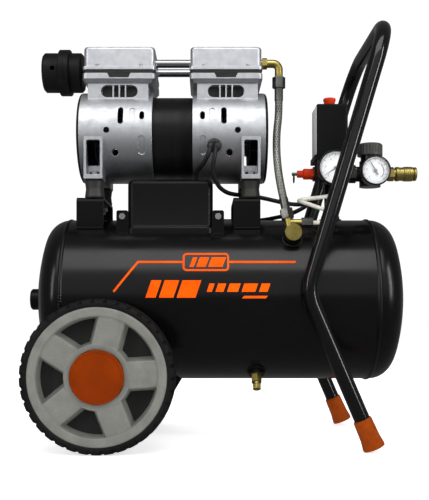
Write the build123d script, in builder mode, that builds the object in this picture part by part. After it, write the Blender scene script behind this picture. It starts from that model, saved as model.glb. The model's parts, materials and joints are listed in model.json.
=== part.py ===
"""Small silent air compressor: a lying tank on two wheels and a bent tube frame, with an
oil-free twin-piston motor pump on top and a pressure switch, gauges, regulator and coupler.
Millimetres. X runs along the tank to the outlet end, -Y is the front, Z is up from the floor."""
from build123d import *
import math
import os

os.makedirs("parts", exist_ok=True)

# ---- fits
TOUCH = 0.3          # gap between pieces of different bodies that only lie near each other
RUN = 0.05           # radial clearance of a running fit

# ---- tank
TANK_R = 120.0
TANK_WALL = 2.5
TANK_CLEAR = 89.5    # floor to the underside of the tank
SEAM_LEFT = -229.7   # where the left dome is welded to the shell
SEAM_RIGHT = 214.0
DOME_SKIRT = (0.4, 4.6)   # straight part of the left and right dome
CROWN_R = 300.0      # large radius of a dome
KNUCKLE_R = 32.0     # small radius of a dome
END_BOSS_R = 16.0
END_BOSS_LEN = 15.8
BOSS_H = 6.0         # height of a weld-in boss above the shell

# ---- handle and leg tube
TUBE_R = 11.0
TUBE_WALL = 1.5
FOOT_X, FOOT_Z = 202.9, 6.1     # centre of a foot's underside
KNEE_X, KNEE_UP = 111.5, 9.5    # corner of the side tube's centreline, above the tank axis
TOP_X, TOP_UP = 223.7, 14.5     # grip bar centreline, above the cylinder heads
KNEE_R = 65.0
GRIP_CORNER_R = 62.0
FOOT_TOP_R, FOOT_END_R, FOOT_LEN, FOOT_SOLE = 13.0, 15.5, 43.0, 6.0

# ---- wheels
WHEEL_X = -172.7
WHEEL_R = 105.0
WHEEL_GAP = 1.0      # tank side to the tyre
TYRE_W = 40.0
TYRE_T = 11.0        # tread to rim
RIM_RING = 15.0      # width of the rim's outer ring
RIM_FACE = 19.0      # rim face out from the tyre's middle
HUB_R = 45.0
CAP_R = 36.7
CAP_T = 4.0
SPOKES = 5
SPOKE_W = 46.0
AXLE_R = 8.0
CHEEK_GAP = 1.5      # outer face of the axle bracket to the tyre
CHEEK_T = 3.0
CHEEK_DOWN, CHEEK_UP = 26.0, 27.0   # from the axle

# ---- motor pump
MOTOR_X = -76.0
STATOR_R, STATOR_LEN = 61.0, 59.0
BELL_R, BELL_WALL = 67.7, 5.0
BELL_LEN = 106.0
COVER_T = 3.9
SHAFT_R = 8.0
ROTOR_R = 37.5
BRACKET_H = 28.0     # tank top to bracket top
BRACKET_W, BRACKET_Y, BRACKET_T = 39.0, 62.0, 3.0
BRACKET_SHIFT = -5.5
BUFFER_H, BUFFER_R = 26.0, 14.5
MOUNT_OUT, MOUNT_Y = 84.5, 48.0      # from the stator's end, and from the middle
LUG_DROP = 70.4      # motor axis down to the underside of the lugs
STUD_R = 4.0
BORE_R, SLEEVE_WALL = 27.0, 2.5
CRANK_THROW = 7.0
ECCENTRIC_R = 16.0
CYLINDER_OUT = 49.0  # stator end to a cylinder's axis
DECK_H = 86.6        # motor axis up to the crankcase's top face
FLANGE_T, PLATE_T, HEAD_H = 13.0, 5.4, 35.6
HEAD_L, HEAD_W = 107.0, 104.0
PIPE_R, PIPE_Y, PIPE_UP = 6.0, 25.0, 21.0   # PIPE_UP: above the deck

# ---- intake filter
FILTER_R, FILTER_RING_R = 30.0, 35.0
FILTER_OUT, FILTER_L = 10.0, 61.0    # from the left head
FILTER_RING_OUT, FILTER_RING_W = 46.0, 16.8

# ---- controls
RISER_X = 162.4
LINE_UP = 71.0       # tank top to the manifold's axis
MANIFOLD_R = 11.0
SWITCH_X0, SWITCH_X1, SWITCH_Y0, SWITCH_Y1 = 137.0, 184.0, -35.0, 18.0
SWITCH_BASE_UP, SWITCH_H, SWITCH_BASE_T = 15.5, 84.0, 8.0
SWITCH_WALL = 2.0
KNOB_R, KNOB_H, KNOB_TRAVEL = 9.5, 13.5, 6.0
REG_X, REG_R = 223.0, 16.0
REG_KNOB_R = 19.0
COUPLER_X = 249.7
GLAND_R, GLAND_X, GLAND_LEN = 5.5, 142.0, 30.0
GLAND_Y = (-29.0, -17.0)
CABLE_R = 3.2
HOSE_R = 5.75
NYLON_R = 3.0

# ---- places that follow from the sizes above
WHEEL_Y = TANK_R + WHEEL_GAP + TYRE_W / 2    # middle of the tyre
TYRE_IN_R = WHEEL_R - TYRE_T
RIM_LIP_R = TYRE_IN_R - RIM_RING
CHEEK_Y = WHEEL_Y - TYRE_W / 2 - CHEEK_GAP
CHEEK_BOTTOM, CHEEK_TOP = WHEEL_R - CHEEK_DOWN, WHEEL_R + CHEEK_UP
MOUNT_DX = STATOR_LEN / 2 + MOUNT_OUT
CYLINDER_DX = STATOR_LEN / 2 + CYLINDER_OUT
TANK_Z = TANK_CLEAR + TANK_R
TANK_TOP = TANK_Z + TANK_R
TUBE_Y = TANK_R + TUBE_R
BRACKET_TOP = TANK_TOP + BRACKET_H
LUG_Z = BRACKET_TOP + BUFFER_H
MOTOR_Z = LUG_Z + LUG_DROP
DECK_Z = MOTOR_Z + DECK_H
LINE_Z = TANK_TOP + LINE_UP
SWITCH_Z = LINE_Z + SWITCH_BASE_UP
SWITCH_TOP = SWITCH_Z + SWITCH_H
PIPE_Z = DECK_Z + PIPE_UP
KNEE_Z = TANK_Z + KNEE_UP
TOP_Z = DECK_Z + PLATE_T + HEAD_H + TOP_UP


def save(piece, name):
    """Label a finished piece and write it to its own file."""
    piece.part.label = name
    export_step(piece.part, f"parts/{name}.step")


def turn(origin, direction, profile, mode=Mode.ADD):
    """Turn a closed outline of (radius, place along the axis) points into the open part."""
    base = Plane(origin=origin, z_dir=direction)
    side = Plane(origin=origin, x_dir=base.x_dir, z_dir=base.x_dir.cross(base.z_dir))
    with BuildSketch(side) as half:
        with BuildLine():
            Polyline(*profile, close=True)
        make_face()
    revolve(half.sketch, axis=Axis(origin, direction), mode=mode)


def rod(start, end, radius, mode=Mode.ADD, bore=0.0):
    """A round bar, or a tube with a bore, between two points."""
    start, end = Vector(start), Vector(end)
    with BuildSketch(Plane(origin=start, z_dir=end - start)) as disc:
        Circle(radius)
        if bore:
            Circle(bore, mode=Mode.SUBTRACT)
    extrude(disc.sketch, amount=(end - start).length, mode=mode)


def block(low, high, mode=Mode.ADD):
    """A box between two opposite corners."""
    middle = [(a + b) / 2 for a, b in zip(low, high)]
    size = [b - a for a, b in zip(low, high)]
    with Locations(tuple(middle)):
        Box(*size, mode=mode)


def hexagon(start, end, across, bore=0.0):
    """A hexagonal nut or body between two points, with a bore if it has one."""
    start, end = Vector(start), Vector(end)
    with BuildSketch(Plane(origin=start, z_dir=end - start)) as shape:
        RegularPolygon(across / 2, 6, major_radius=False)
        if bore:
            Circle(bore, mode=Mode.SUBTRACT)
    extrude(shape.sketch, amount=(end - start).length)


def smooth_path(points, name=""):
    """A route of straight runs and tangent arcs, each arc as large as its two runs allow."""
    points = [Vector(p) for p in points]
    runs = [b - a for a, b in zip(points, points[1:])]
    radii = []
    for before, after in zip(runs, runs[1:]):
        half_turn = math.radians(before.get_angle(after)) / 2
        radii.append(0.45 * min(before.length, after.length) / math.tan(half_turn))
    if name:
        print(name, "radii", [round(r) for r in radii], "runs", [round(r.length) for r in runs])
    with BuildLine(mode=Mode.PRIVATE) as route:
        FilletPolyline(*points, radius=radii)
    return Wire(route.edges())


def tube(path, radius, bore=0.0, mode=Mode.ADD):
    """Carry a round section along a path."""
    with BuildSketch(Plane(origin=path @ 0, z_dir=path % 0)) as disc:
        Circle(radius)
        if bore:
            Circle(bore, mode=Mode.SUBTRACT)
    sweep(disc.sketch, path=path, mode=mode)


# ================================================================ tank
SHELL_IN = TANK_R - TANK_WALL


def dome_outline(grow):
    """Axial places of the knuckle and crown for a dome skin moved outwards by grow."""
    crown, knuckle, radius = CROWN_R + grow, KNUCKLE_R + grow, TANK_R + grow
    rise = math.sqrt((crown - knuckle) ** 2 - (radius - knuckle) ** 2)
    angle = math.atan2(radius - knuckle, rise)
    meet = (crown * math.sin(angle), crown * math.cos(angle) - rise)
    middle = (
        radius - knuckle + knuckle * math.cos((math.pi / 2 - angle) / 2),
        knuckle * math.sin((math.pi / 2 - angle) / 2),
    )
    half = (crown * math.sin(angle / 2), crown * math.cos(angle / 2) - rise)
    return radius, middle, meet, half, crown - rise


DOME_H = dome_outline(0)[4]
TANK_LEFT = SEAM_LEFT - DOME_SKIRT[0] - DOME_H
TANK_RIGHT = SEAM_RIGHT + DOME_SKIRT[1] + DOME_H
END_BOSS_X = TANK_LEFT - END_BOSS_LEN

# boss places: (foot point on the shell, outward direction, boss radius)
CHECK_ANGLE = math.radians(45)
DRAIN_X, DRAIN_ANGLE = 46.0, math.radians(30)
CHECK_X = 95.6


def on_shell(x, angle_from_top, reach):
    """A point at a distance from the tank axis, tilted to the front by an angle from the top."""
    return (x, -reach * math.sin(angle_from_top), TANK_Z + reach * math.cos(angle_from_top))


RISER_FOOT = on_shell(RISER_X, 0, SHELL_IN - 1)
CHECK_FOOT = on_shell(CHECK_X, CHECK_ANGLE, SHELL_IN - 1)
DRAIN_FOOT = on_shell(DRAIN_X, math.pi - DRAIN_ANGLE, SHELL_IN - 1)
RISER_BOSS_TOP = on_shell(RISER_X, 0, TANK_R + BOSS_H)
CHECK_BOSS_TOP = on_shell(CHECK_X, CHECK_ANGLE, TANK_R + BOSS_H)
DRAIN_BOSS_TOP = on_shell(DRAIN_X, math.pi - DRAIN_ANGLE, TANK_R + BOSS_H)
RISER_BOSS_R, CHECK_BOSS_R, DRAIN_BOSS_R = 14.0, 12.5, 11.5
RISER_R = 9.0
PORT_R = 5.0         # air passage through a boss

with BuildPart() as tank_shell:
    rod((SEAM_LEFT, 0, TANK_Z), (SEAM_RIGHT, 0, TANK_Z), TANK_R, bore=SHELL_IN)
    rod(RISER_FOOT, RISER_BOSS_TOP, RISER_BOSS_R, Mode.SUBTRACT)
    rod(CHECK_FOOT, CHECK_BOSS_TOP, CHECK_BOSS_R, Mode.SUBTRACT)
    rod(DRAIN_FOOT, DRAIN_BOSS_TOP, DRAIN_BOSS_R, Mode.SUBTRACT)
save(tank_shell, "tank_shell")


def dome(seam, skirt, outward):
    """One pressed dome: a straight skirt, a knuckle arc and a crown arc, one wall thick."""
    outer, inner = dome_outline(0), dome_outline(-TANK_WALL)
    start = seam + outward * skirt
    side = Plane(origin=(start, 0, TANK_Z), x_dir=(0, 1, 0), z_dir=(0, 0, -outward))
    with BuildSketch(side) as skin:
        with BuildLine():
            ThreePointArc((outer[0], 0), outer[1], outer[2])
            ThreePointArc(outer[2], outer[3], (0, outer[4]))
            Line((0, outer[4]), (0, inner[4]))
            ThreePointArc((0, inner[4]), inner[3], inner[2])
            ThreePointArc(inner[2], inner[1], (inner[0], 0))
            Polyline((inner[0], 0), (inner[0], -skirt), (outer[0], -skirt), (outer[0], 0))
        make_face()
    revolve(skin.sketch, axis=Axis((start, 0, TANK_Z), (outward, 0, 0)))


with BuildPart() as tank_domes:
    dome(SEAM_LEFT, DOME_SKIRT[0], -1)
    dome(SEAM_RIGHT, DOME_SKIRT[1], 1)
    rod((END_BOSS_X, 0, TANK_Z), (TANK_LEFT + TANK_WALL + 1, 0, TANK_Z), END_BOSS_R, Mode.SUBTRACT)
save(tank_domes, "tank_domes")

# Weld-in bosses, the end plug and the riser nipple, each a solid of its own.
END_PLUG_R = 8.0
with BuildPart() as tank_ports:
    rod(RISER_FOOT, RISER_BOSS_TOP, RISER_BOSS_R, bore=RISER_R)
    rod(CHECK_FOOT, CHECK_BOSS_TOP, CHECK_BOSS_R, bore=PORT_R)
    rod(DRAIN_FOOT, DRAIN_BOSS_TOP, DRAIN_BOSS_R, bore=PORT_R)
    turn(
        (TANK_LEFT + TANK_WALL + 1, 0, TANK_Z),
        (-1, 0, 0),
        [
            (END_PLUG_R, 0),
            (END_BOSS_R, 0),
            (END_BOSS_R, END_BOSS_LEN + TANK_WALL - 1),
            (END_BOSS_R - 2, END_BOSS_LEN + TANK_WALL + 1),
            (END_PLUG_R, END_BOSS_LEN + TANK_WALL + 1),
        ],
    )
    rod((TANK_LEFT + TANK_WALL + 1, 0, TANK_Z), (END_BOSS_X + 2, 0, TANK_Z), END_PLUG_R)
    riser_end = LINE_Z - MANIFOLD_R - 4
    rod(RISER_FOOT, (RISER_X, 0, riser_end), RISER_R, bore=PORT_R)
save(tank_ports, "tank_ports")

# ================================================================ handle frame
LEG_DIR = Vector(KNEE_X - FOOT_X, 0, KNEE_Z - FOOT_Z).normalized()
SOLE_MID = Vector(FOOT_X, 0, FOOT_Z)
TUBE_END = SOLE_MID + LEG_DIR * FOOT_SOLE


def at_side(point, side):
    """The same point in the plane of the front (-1) or rear (1) side tube."""
    return (point[0], side * TUBE_Y, point[2])


with BuildPart() as handle_frame:
    with BuildLine(mode=Mode.PRIVATE) as bend:
        FilletPolyline(
            at_side(tuple(TUBE_END), -1),
            (KNEE_X, -TUBE_Y, KNEE_Z),
            (TOP_X, -TUBE_Y, TOP_Z),
            (TOP_X, TUBE_Y, TOP_Z),
            (KNEE_X, TUBE_Y, KNEE_Z),
            at_side(tuple(TUBE_END), 1),
            radius=(KNEE_R, GRIP_CORNER_R, GRIP_CORNER_R, KNEE_R),
        )
    tube(Wire(bend.edges()), TUBE_R, bore=TUBE_R - TUBE_WALL)
save(handle_frame, "handle_frame")

with BuildPart() as rubber_feet:
    for side in (-1, 1):
        turn(
            at_side(tuple(SOLE_MID), side),
            tuple(LEG_DIR),
            [
                (0, 0),
                (FOOT_END_R, 0),
                (FOOT_END_R, 3),
                (FOOT_TOP_R + 0.6, 15),
                (FOOT_TOP_R, FOOT_LEN - 1.5),
                (FOOT_TOP_R - 1.5, FOOT_LEN),
                (TUBE_R, FOOT_LEN),
                (TUBE_R, FOOT_SOLE),
                (0, FOOT_SOLE),
            ],
        )
save(rubber_feet, "rubber_feet")

# ================================================================ axle bracket
BRACKET_X0 = WHEEL_X - 77.0     # ends of the welded cross plate
BRACKET_X1 = WHEEL_X + 77.0
CHEEK_REACH = (100.0, 112.5)    # cheek ends along X at its bottom and upper edge
SADDLE_X = (WHEEL_X - 60.0, WHEEL_X + 60.0)
with BuildPart() as axle_bracket:
    block((BRACKET_X0, -CHEEK_Y, CHEEK_BOTTOM), (BRACKET_X1, CHEEK_Y, CHEEK_BOTTOM + CHEEK_T))
    for side in (-1, 1):
        inner = side * (CHEEK_Y - CHEEK_T)
        with BuildSketch(Plane(origin=(WHEEL_X, inner, 0), x_dir=(1, 0, 0), z_dir=(0, -1, 0))) as cheek:
            with BuildLine():
                Polyline(
                    (-CHEEK_REACH[0], CHEEK_BOTTOM),
                    (CHEEK_REACH[0], CHEEK_BOTTOM),
                    (CHEEK_REACH[1], CHEEK_BOTTOM + 21),
                    (60, CHEEK_TOP),
                    (-60, CHEEK_TOP),
                    (-CHEEK_REACH[1], CHEEK_BOTTOM + 21),
                    close=True,
                )
            make_face()
        extrude(cheek.sketch, amount=-side * CHEEK_T)
    for x in SADDLE_X:
        block(
            (x - CHEEK_T / 2, -CHEEK_Y + 1, CHEEK_BOTTOM + 1),
            (x + CHEEK_T / 2, CHEEK_Y - 1, CHEEK_TOP),
        )
    rod((BRACKET_X0 - 60, 0, TANK_Z), (BRACKET_X1 + 60, 0, TANK_Z), TANK_R, Mode.SUBTRACT)
    rod((WHEEL_X, -CHEEK_Y - 5, WHEEL_R), (WHEEL_X, CHEEK_Y + 5, WHEEL_R), AXLE_R, Mode.SUBTRACT)
save(axle_bracket, "axle_bracket")

HUB_END = WHEEL_Y + RIM_FACE - 4.0   # outer end of the hub's bore
with BuildPart() as wheel_axles:
    for side in (-1, 1):
        turn(
            (WHEEL_X, side * (CHEEK_Y - CHEEK_T - 6), WHEEL_R),
            (0, side, 0),
            [
                (0, 0),
                (AXLE_R + 5, 0),
                (AXLE_R + 5, 6),
                (AXLE_R, 6),
                (AXLE_R, HUB_END + 2.3 - CHEEK_Y + CHEEK_T + 6 - 2),
                (0, HUB_END + 2.3 - CHEEK_Y + CHEEK_T + 6 - 2),
            ],
        )
        washer = side * (HUB_END + 0.3)
        rod((WHEEL_X, washer, WHEEL_R), (WHEEL_X, washer + side * 1.5, WHEEL_R), AXLE_R + 6)
save(wheel_axles, "wheel_axles")

# ================================================================ wheels
TYRE_IN = WHEEL_Y - TYRE_W / 2


def make_tyre(side):
    """A solid rubber tyre with a rounded crown and sunk side walls."""
    half = TYRE_W / 2
    with BuildPart() as piece:
        turn(
            (WHEEL_X, side * WHEEL_Y, WHEEL_R),
            (0, side, 0),
            [
                (TYRE_IN_R, -half),
                (WHEEL_R - 4, -half),
                (WHEEL_R - 1, -half + 5),
                (WHEEL_R, -half + 11),
                (WHEEL_R, half - 11),
                (WHEEL_R - 1, half - 5),
                (WHEEL_R - 4, half),
                (TYRE_IN_R, half),
            ],
        )
    return piece


def make_rim(side):
    """A moulded wheel: barrel with a flared face ring, closed web, hub and five hollow spokes."""
    back, face = -TYRE_W / 2 + 1, RIM_FACE
    web = -2.0
    centre = (WHEEL_X, side * WHEEL_Y, WHEEL_R)
    with BuildPart() as piece:
        turn(
            centre,
            (0, side, 0),
            [
                (AXLE_R + RUN, back),
                (AXLE_R + 12, back),
                (AXLE_R + 12, web),
                (TYRE_IN_R - 5, web),
                (TYRE_IN_R - 5, back),
                (TYRE_IN_R, back),
                (TYRE_IN_R, face),
                (TYRE_IN_R - 2, face + 1),
                (RIM_LIP_R + 2, face),
                (RIM_LIP_R, face - 4),
                (RIM_LIP_R + 2, web + 3),
                (HUB_R + 1, web + 3),
                (HUB_R, face - 2),
                (CAP_R + 0.3, face - 2),
                (CAP_R + 0.3, HUB_END - WHEEL_Y),
                (AXLE_R + RUN, HUB_END - WHEEL_Y),
            ],
        )
        spoke_plane = Plane(origin=(WHEEL_X, side * (WHEEL_Y + web), WHEEL_R), x_dir=(1, 0, 0),
                            z_dir=(0, side, 0))
        with BuildSketch(spoke_plane) as spokes:
            with PolarLocations(HUB_R - 3, SPOKES, start_angle=-3 if side > 0 else 3):
                Rectangle(RIM_LIP_R - HUB_R + 7, SPOKE_W - 8, align=(Align.MIN, Align.CENTER))
        extrude(spokes.sketch, amount=RIM_FACE - web - 4)
    return piece


def make_cap(side):
    """A domed snap-in hub cap."""
    with BuildPart() as piece:
        turn(
            (WHEEL_X, side * (WHEEL_Y + RIM_FACE), WHEEL_R),
            (0, side, 0),
            [
                (0, 1.5), (CAP_R - 4, 1.5), (CAP_R - 4, -1.9), (CAP_R, -1.9), (CAP_R, 1.0),
                (CAP_R - 2, 2.6), (CAP_R - 8, CAP_T), (0, CAP_T),
            ],
        )
    return piece


for side, end in ((-1, "front"), (1, "rear")):
    save(make_tyre(side), f"tyre_{end}")
    save(make_rim(side), f"rim_{end}")
    save(make_cap(side), f"wheel_cap_{end}")

# ================================================================ motor mounting
MOUNT_XS = (MOTOR_X - MOUNT_DX, MOTOR_X + MOUNT_DX)
with BuildPart() as motor_brackets:
    for x in MOUNT_XS:
        middle = x + BRACKET_SHIFT
        with BuildSketch(Plane(origin=(middle - BRACKET_W / 2, 0, 0), x_dir=(0, 1, 0),
                               z_dir=(1, 0, 0))) as arch:
            with Locations((0, BRACKET_TOP)):
                Rectangle(2 * BRACKET_Y, BRACKET_TOP - TANK_Z, align=(Align.CENTER, Align.MAX))
            fillet(arch.vertices().group_by(Axis.Z)[-1], 7)
            with Locations((0, BRACKET_TOP - BRACKET_T)):
                Rectangle(2 * (BRACKET_Y - BRACKET_T), BRACKET_TOP, align=(Align.CENTER, Align.MAX),
                          mode=Mode.SUBTRACT)
        extrude(arch.sketch, amount=BRACKET_W)
        for y in (-MOUNT_Y, MOUNT_Y):
            rod((x, y, BRACKET_TOP - 9), (x, y, BRACKET_TOP + 1), STUD_R, Mode.SUBTRACT)
    rod((TANK_LEFT, 0, TANK_Z), (TANK_RIGHT, 0, TANK_Z), TANK_R, Mode.SUBTRACT)
save(motor_brackets, "motor_brackets")

with BuildPart() as mount_buffers:
    for x in MOUNT_XS:
        for y in (-MOUNT_Y, MOUNT_Y):
            turn(
                (x, y, BRACKET_TOP),
                (0, 0, 1),
                [
                    (STUD_R, 0), (BUFFER_R - 1, 0), (BUFFER_R, 2), (BUFFER_R - 1.5, BUFFER_H / 2),
                    (BUFFER_R, BUFFER_H - 2), (BUFFER_R - 1, BUFFER_H), (STUD_R, BUFFER_H),
                ],
            )
save(mount_buffers, "mount_buffers")

# ================================================================ crankcases
LUG_W = 27.0
LUG_OUT = 69.0
LUG_FLOOR, POCKET_H, POCKET_DEPTH = 6.0, 50.0, 28.0   # the pocket over a lug's foot
BELL_IN = BELL_R - BELL_WALL
BEARING_R, BEARING_W = 17.5, 10.0
WINDING_LEN = 15.0
WEB_DX = STATOR_LEN / 2 + WINDING_LEN + 3.5   # motor middle to the inner side of the bearing web
WEB_T = 6.0
BLOCK_DX = (STATOR_LEN / 2 + 6.5, STATOR_LEN / 2 + 95.5)
BLOCK_Y = 45.0
VENTS = (  # distance from the motor's middle, height from its axis, width, length
    (75.0, 22.0, 8.0, 26.0),
    (44.0, 22.0, 7.0, 12.5),
)
PADS = ((58.0, 22.0, 8.0, 24.0), (44.5, -21.0, 10.0, 26.0))
DRILLS = ((95.0, 0.0, 4.5), (83.0, -31.0, 4.8))
GROMMET_DX, GROMMET_DZ, GROMMET_R = 61.0, -22.0, 10.5


def make_crankcase(side):
    """One cast crankcase: open barrel, bearing web, cylinder block with a flange, and two lugs."""
    near, far = MOTOR_X + side * STATOR_LEN / 2, MOTOR_X + side * (STATOR_LEN / 2 + BELL_LEN)
    web0 = MOTOR_X + side * WEB_DX
    axis_x = MOTOR_X + side * CYLINDER_DX
    block_x = sorted(MOTOR_X + side * d for d in BLOCK_DX)
    flange_x = (axis_x - HEAD_L / 2, axis_x + HEAD_L / 2)
    with BuildPart() as piece:
        rod((near, 0, MOTOR_Z), (far, 0, MOTOR_Z), BELL_R)
        block((block_x[0], -BLOCK_Y, MOTOR_Z), (block_x[1], BLOCK_Y, DECK_Z - FLANGE_T / 2))
        with BuildSketch(Plane.XY.offset(DECK_Z - FLANGE_T)) as flange:
            with Locations((axis_x, 0)):
                RectangleRounded(HEAD_L, HEAD_W, 6)
        extrude(flange.sketch, amount=FLANGE_T)
        low_edges = piece.edges().filter_by(
            lambda e: abs(e.center().Z - (DECK_Z - FLANGE_T)) < 0.01
            and (abs(e.center().X - axis_x) > BLOCK_DX[1] - CYLINDER_DX + 1
                 or abs(e.center().Y) > BLOCK_Y + 1)
        )
        chamfer(low_edges, 5)
        mount_x = MOTOR_X + side * MOUNT_DX
        for y in (-1, 1):
            block(
                (mount_x - LUG_W / 2, min(y * 30, y * LUG_OUT), LUG_Z),
                (mount_x + LUG_W / 2, max(y * 30, y * LUG_OUT), MOTOR_Z - 10),
            )
        rod((near, 0, MOTOR_Z), (far, 0, MOTOR_Z), BELL_IN, Mode.SUBTRACT)
        rod((web0, 0, MOTOR_Z), (web0 + side * WEB_T, 0, MOTOR_Z), BELL_IN)
        rod((web0, 0, MOTOR_Z), (web0 + side * BEARING_W, 0, MOTOR_Z), BEARING_R + 5)
        rod((web0 - side, 0, MOTOR_Z), (web0 + side * (BEARING_W + 1), 0, MOTOR_Z), BEARING_R,
            Mode.SUBTRACT)
        rod((axis_x, 0, MOTOR_Z + BELL_IN / 2), (axis_x, 0, DECK_Z), BORE_R + SLEEVE_WALL, Mode.SUBTRACT)
        for y in (-1, 1):
            rod((mount_x, y * MOUNT_Y, LUG_Z - 1), (mount_x, y * MOUNT_Y, LUG_Z + 15), STUD_R,
                Mode.SUBTRACT)
            pocket = Plane(origin=(mount_x, y * LUG_OUT, LUG_Z + LUG_FLOOR), x_dir=(1, 0, 0),
                           z_dir=(0, y, 0))
            with BuildSketch(pocket) as opening:
                with Locations((0, -y * (POCKET_H / 2))):
                    RectangleRounded(LUG_W - 7, POCKET_H, 3)
            extrude(opening.sketch, amount=-POCKET_DEPTH, mode=Mode.SUBTRACT)
            face = Plane(origin=(axis_x, y * BLOCK_Y, DECK_Z - FLANGE_T - 12), x_dir=(1, 0, 0),
                         z_dir=(0, y, 0))
            with BuildSketch(face) as window:
                SlotOverall(54, 18)
            extrude(window.sketch, amount=-9, mode=Mode.SUBTRACT)
            with BuildSketch(face) as fins:
                with GridLocations(9, 0, 3, 1):
                    Rectangle(2, 18)
            extrude(fins.sketch, amount=-10)
            wall = Plane(origin=(MOTOR_X, 0, MOTOR_Z), x_dir=(1, 0, 0), z_dir=(0, y, 0))
            with BuildSketch(wall) as openings:
                for dx, dz, wide, tall in VENTS:
                    with Locations((side * dx, -y * dz)):
                        SlotOverall(tall, wide, rotation=90)
                for dx, dz, radius in DRILLS:
                    with Locations((side * dx, -y * dz)):
                        Circle(radius)
            extrude(openings.sketch, amount=BELL_R + 20, mode=Mode.SUBTRACT)
            with BuildSketch(wall.offset(BELL_R + 4)) as pads:
                for dx, dz, wide, tall in PADS:
                    with Locations((side * dx, -y * dz)):
                        SlotOverall(tall, wide, rotation=90)
            with BuildPart(mode=Mode.PRIVATE) as cut:
                extrude(pads.sketch, amount=-30)
                rod((near, 0, MOTOR_Z), (far, 0, MOTOR_Z), BELL_R - 1.2, Mode.SUBTRACT)
            add(cut.part, mode=Mode.SUBTRACT)
        if side > 0:
            spot = (MOTOR_X + GROMMET_DX, MOTOR_Z + GROMMET_DZ)
            rod((spot[0], -BELL_R - 5, spot[1]), (spot[0], -BELL_IN / 2, spot[1]), GROMMET_R - 2,
                Mode.SUBTRACT)
    return piece


save(make_crankcase(-1), "crankcase_left")
save(make_crankcase(1), "crankcase_right")

with BuildPart() as stator:
    half = STATOR_LEN / 2
    rod((MOTOR_X - half, 0, MOTOR_Z), (MOTOR_X + half, 0, MOTOR_Z), STATOR_R, bore=ROTOR_R + 0.6)
    for side in (-1, 1):
        ends = MOTOR_X + side * half, MOTOR_X + side * (half + WINDING_LEN)
        rod((ends[0], 0, MOTOR_Z), (ends[1], 0, MOTOR_Z), STATOR_R - 4, bore=ROTOR_R + 4)
save(stator, "stator")

with BuildPart() as rotor_core:
    rod((MOTOR_X - half + 1, 0, MOTOR_Z), (MOTOR_X + half - 1, 0, MOTOR_Z), ROTOR_R, bore=SHAFT_R)
save(rotor_core, "rotor_core")

with BuildPart() as shaft_bearings:
    for side in (-1, 1):
        start = MOTOR_X + side * WEB_DX
        rod((start, 0, MOTOR_Z), (start + side * BEARING_W, 0, MOTOR_Z), BEARING_R, bore=SHAFT_R + RUN)
save(shaft_bearings, "shaft_bearings")

ECC_W = 10.0
SHAFT_HALF = STATOR_LEN / 2 + BELL_LEN - 6
with BuildPart() as motor_shaft:
    rod((MOTOR_X - SHAFT_HALF, 0, MOTOR_Z), (MOTOR_X + SHAFT_HALF, 0, MOTOR_Z), SHAFT_R)
    for side in (-1, 1):
        x = MOTOR_X + side * CYLINDER_DX
        with BuildSketch(Plane(origin=(x - ECC_W / 2, 0, MOTOR_Z), z_dir=(1, 0, 0))) as disc:
            with Locations((0, side * CRANK_THROW)):
                Circle(ECCENTRIC_R)
        extrude(disc.sketch, amount=ECC_W)
save(motor_shaft, "motor_shaft")

FAN_R, FAN_W, FAN_BLADES = 52.0, 14.0, 9
with BuildPart() as cooling_fans:
    for side in (-1, 1):
        x = MOTOR_X + side * (SHAFT_HALF - 3)
        rod((x - side * FAN_W, 0, MOTOR_Z), (x, 0, MOTOR_Z), SHAFT_R + 5, bore=SHAFT_R)
        rod((x - side * FAN_W, 0, MOTOR_Z), (x - side * (FAN_W - 2), 0, MOTOR_Z), FAN_R, bore=SHAFT_R + 4)
        with BuildSketch(Plane(origin=(x - side * (FAN_W - 1), 0, MOTOR_Z), z_dir=(side, 0, 0))) as blades:
            with PolarLocations(SHAFT_R + 4, FAN_BLADES):
                Rectangle(FAN_R - SHAFT_R - 5, 2, align=(Align.MIN, Align.CENTER))
        extrude(blades.sketch, amount=FAN_W - 1)
save(cooling_fans, "cooling_fans")

GRILLE_R, GRILLE_SLOTS = 46.0, 16
with BuildPart() as end_covers:
    for side in (-1, 1):
        x = MOTOR_X + side * (STATOR_LEN / 2 + BELL_LEN)
        turn(
            (x, 0, MOTOR_Z),
            (side, 0, 0),
            [(0, 0), (BELL_R - 1, 0), (BELL_R - 1, COVER_T - 1.5), (BELL_R - 4, COVER_T), (0, COVER_T)],
        )
        with BuildSketch(Plane(origin=(x, 0, MOTOR_Z), z_dir=(side, 0, 0))) as slots:
            with PolarLocations(GRILLE_R - 13, GRILLE_SLOTS):
                SlotOverall(22, 5)
        extrude(slots.sketch, amount=COVER_T, mode=Mode.SUBTRACT)
save(end_covers, "end_covers")

# ================================================================ pistons, cylinders, heads
PISTON_T = 8.0
BIG_END_R = ECCENTRIC_R + 2 * CRANK_THROW + 0.5   # open pivot: clears the eccentric all round
PISTON_TOP = DECK_Z - CRANK_THROW - 1


def make_piston(side):
    """A rocking piston with its rod and an open big end."""
    x = MOTOR_X + side * CYLINDER_DX
    with BuildPart() as piece:
        rod((x, 0, PISTON_TOP - PISTON_T), (x, 0, PISTON_TOP), BORE_R - RUN)
        rod((x, 0, MOTOR_Z + BIG_END_R + 1), (x, 0, PISTON_TOP - PISTON_T + 1), 6)
        rod((x - 4, 0, MOTOR_Z), (x + 4, 0, MOTOR_Z), BIG_END_R + 5, bore=BIG_END_R)
    return piece


save(make_piston(-1), "piston_left")
save(make_piston(1), "piston_right")

SLEEVE_LEN = 36.0
with BuildPart() as cylinder_sleeves:
    for side in (-1, 1):
        x = MOTOR_X + side * CYLINDER_DX
        rod((x, 0, DECK_Z - SLEEVE_LEN), (x, 0, DECK_Z), BORE_R + SLEEVE_WALL, bore=BORE_R)
save(cylinder_sleeves, "cylinder_sleeves")

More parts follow.
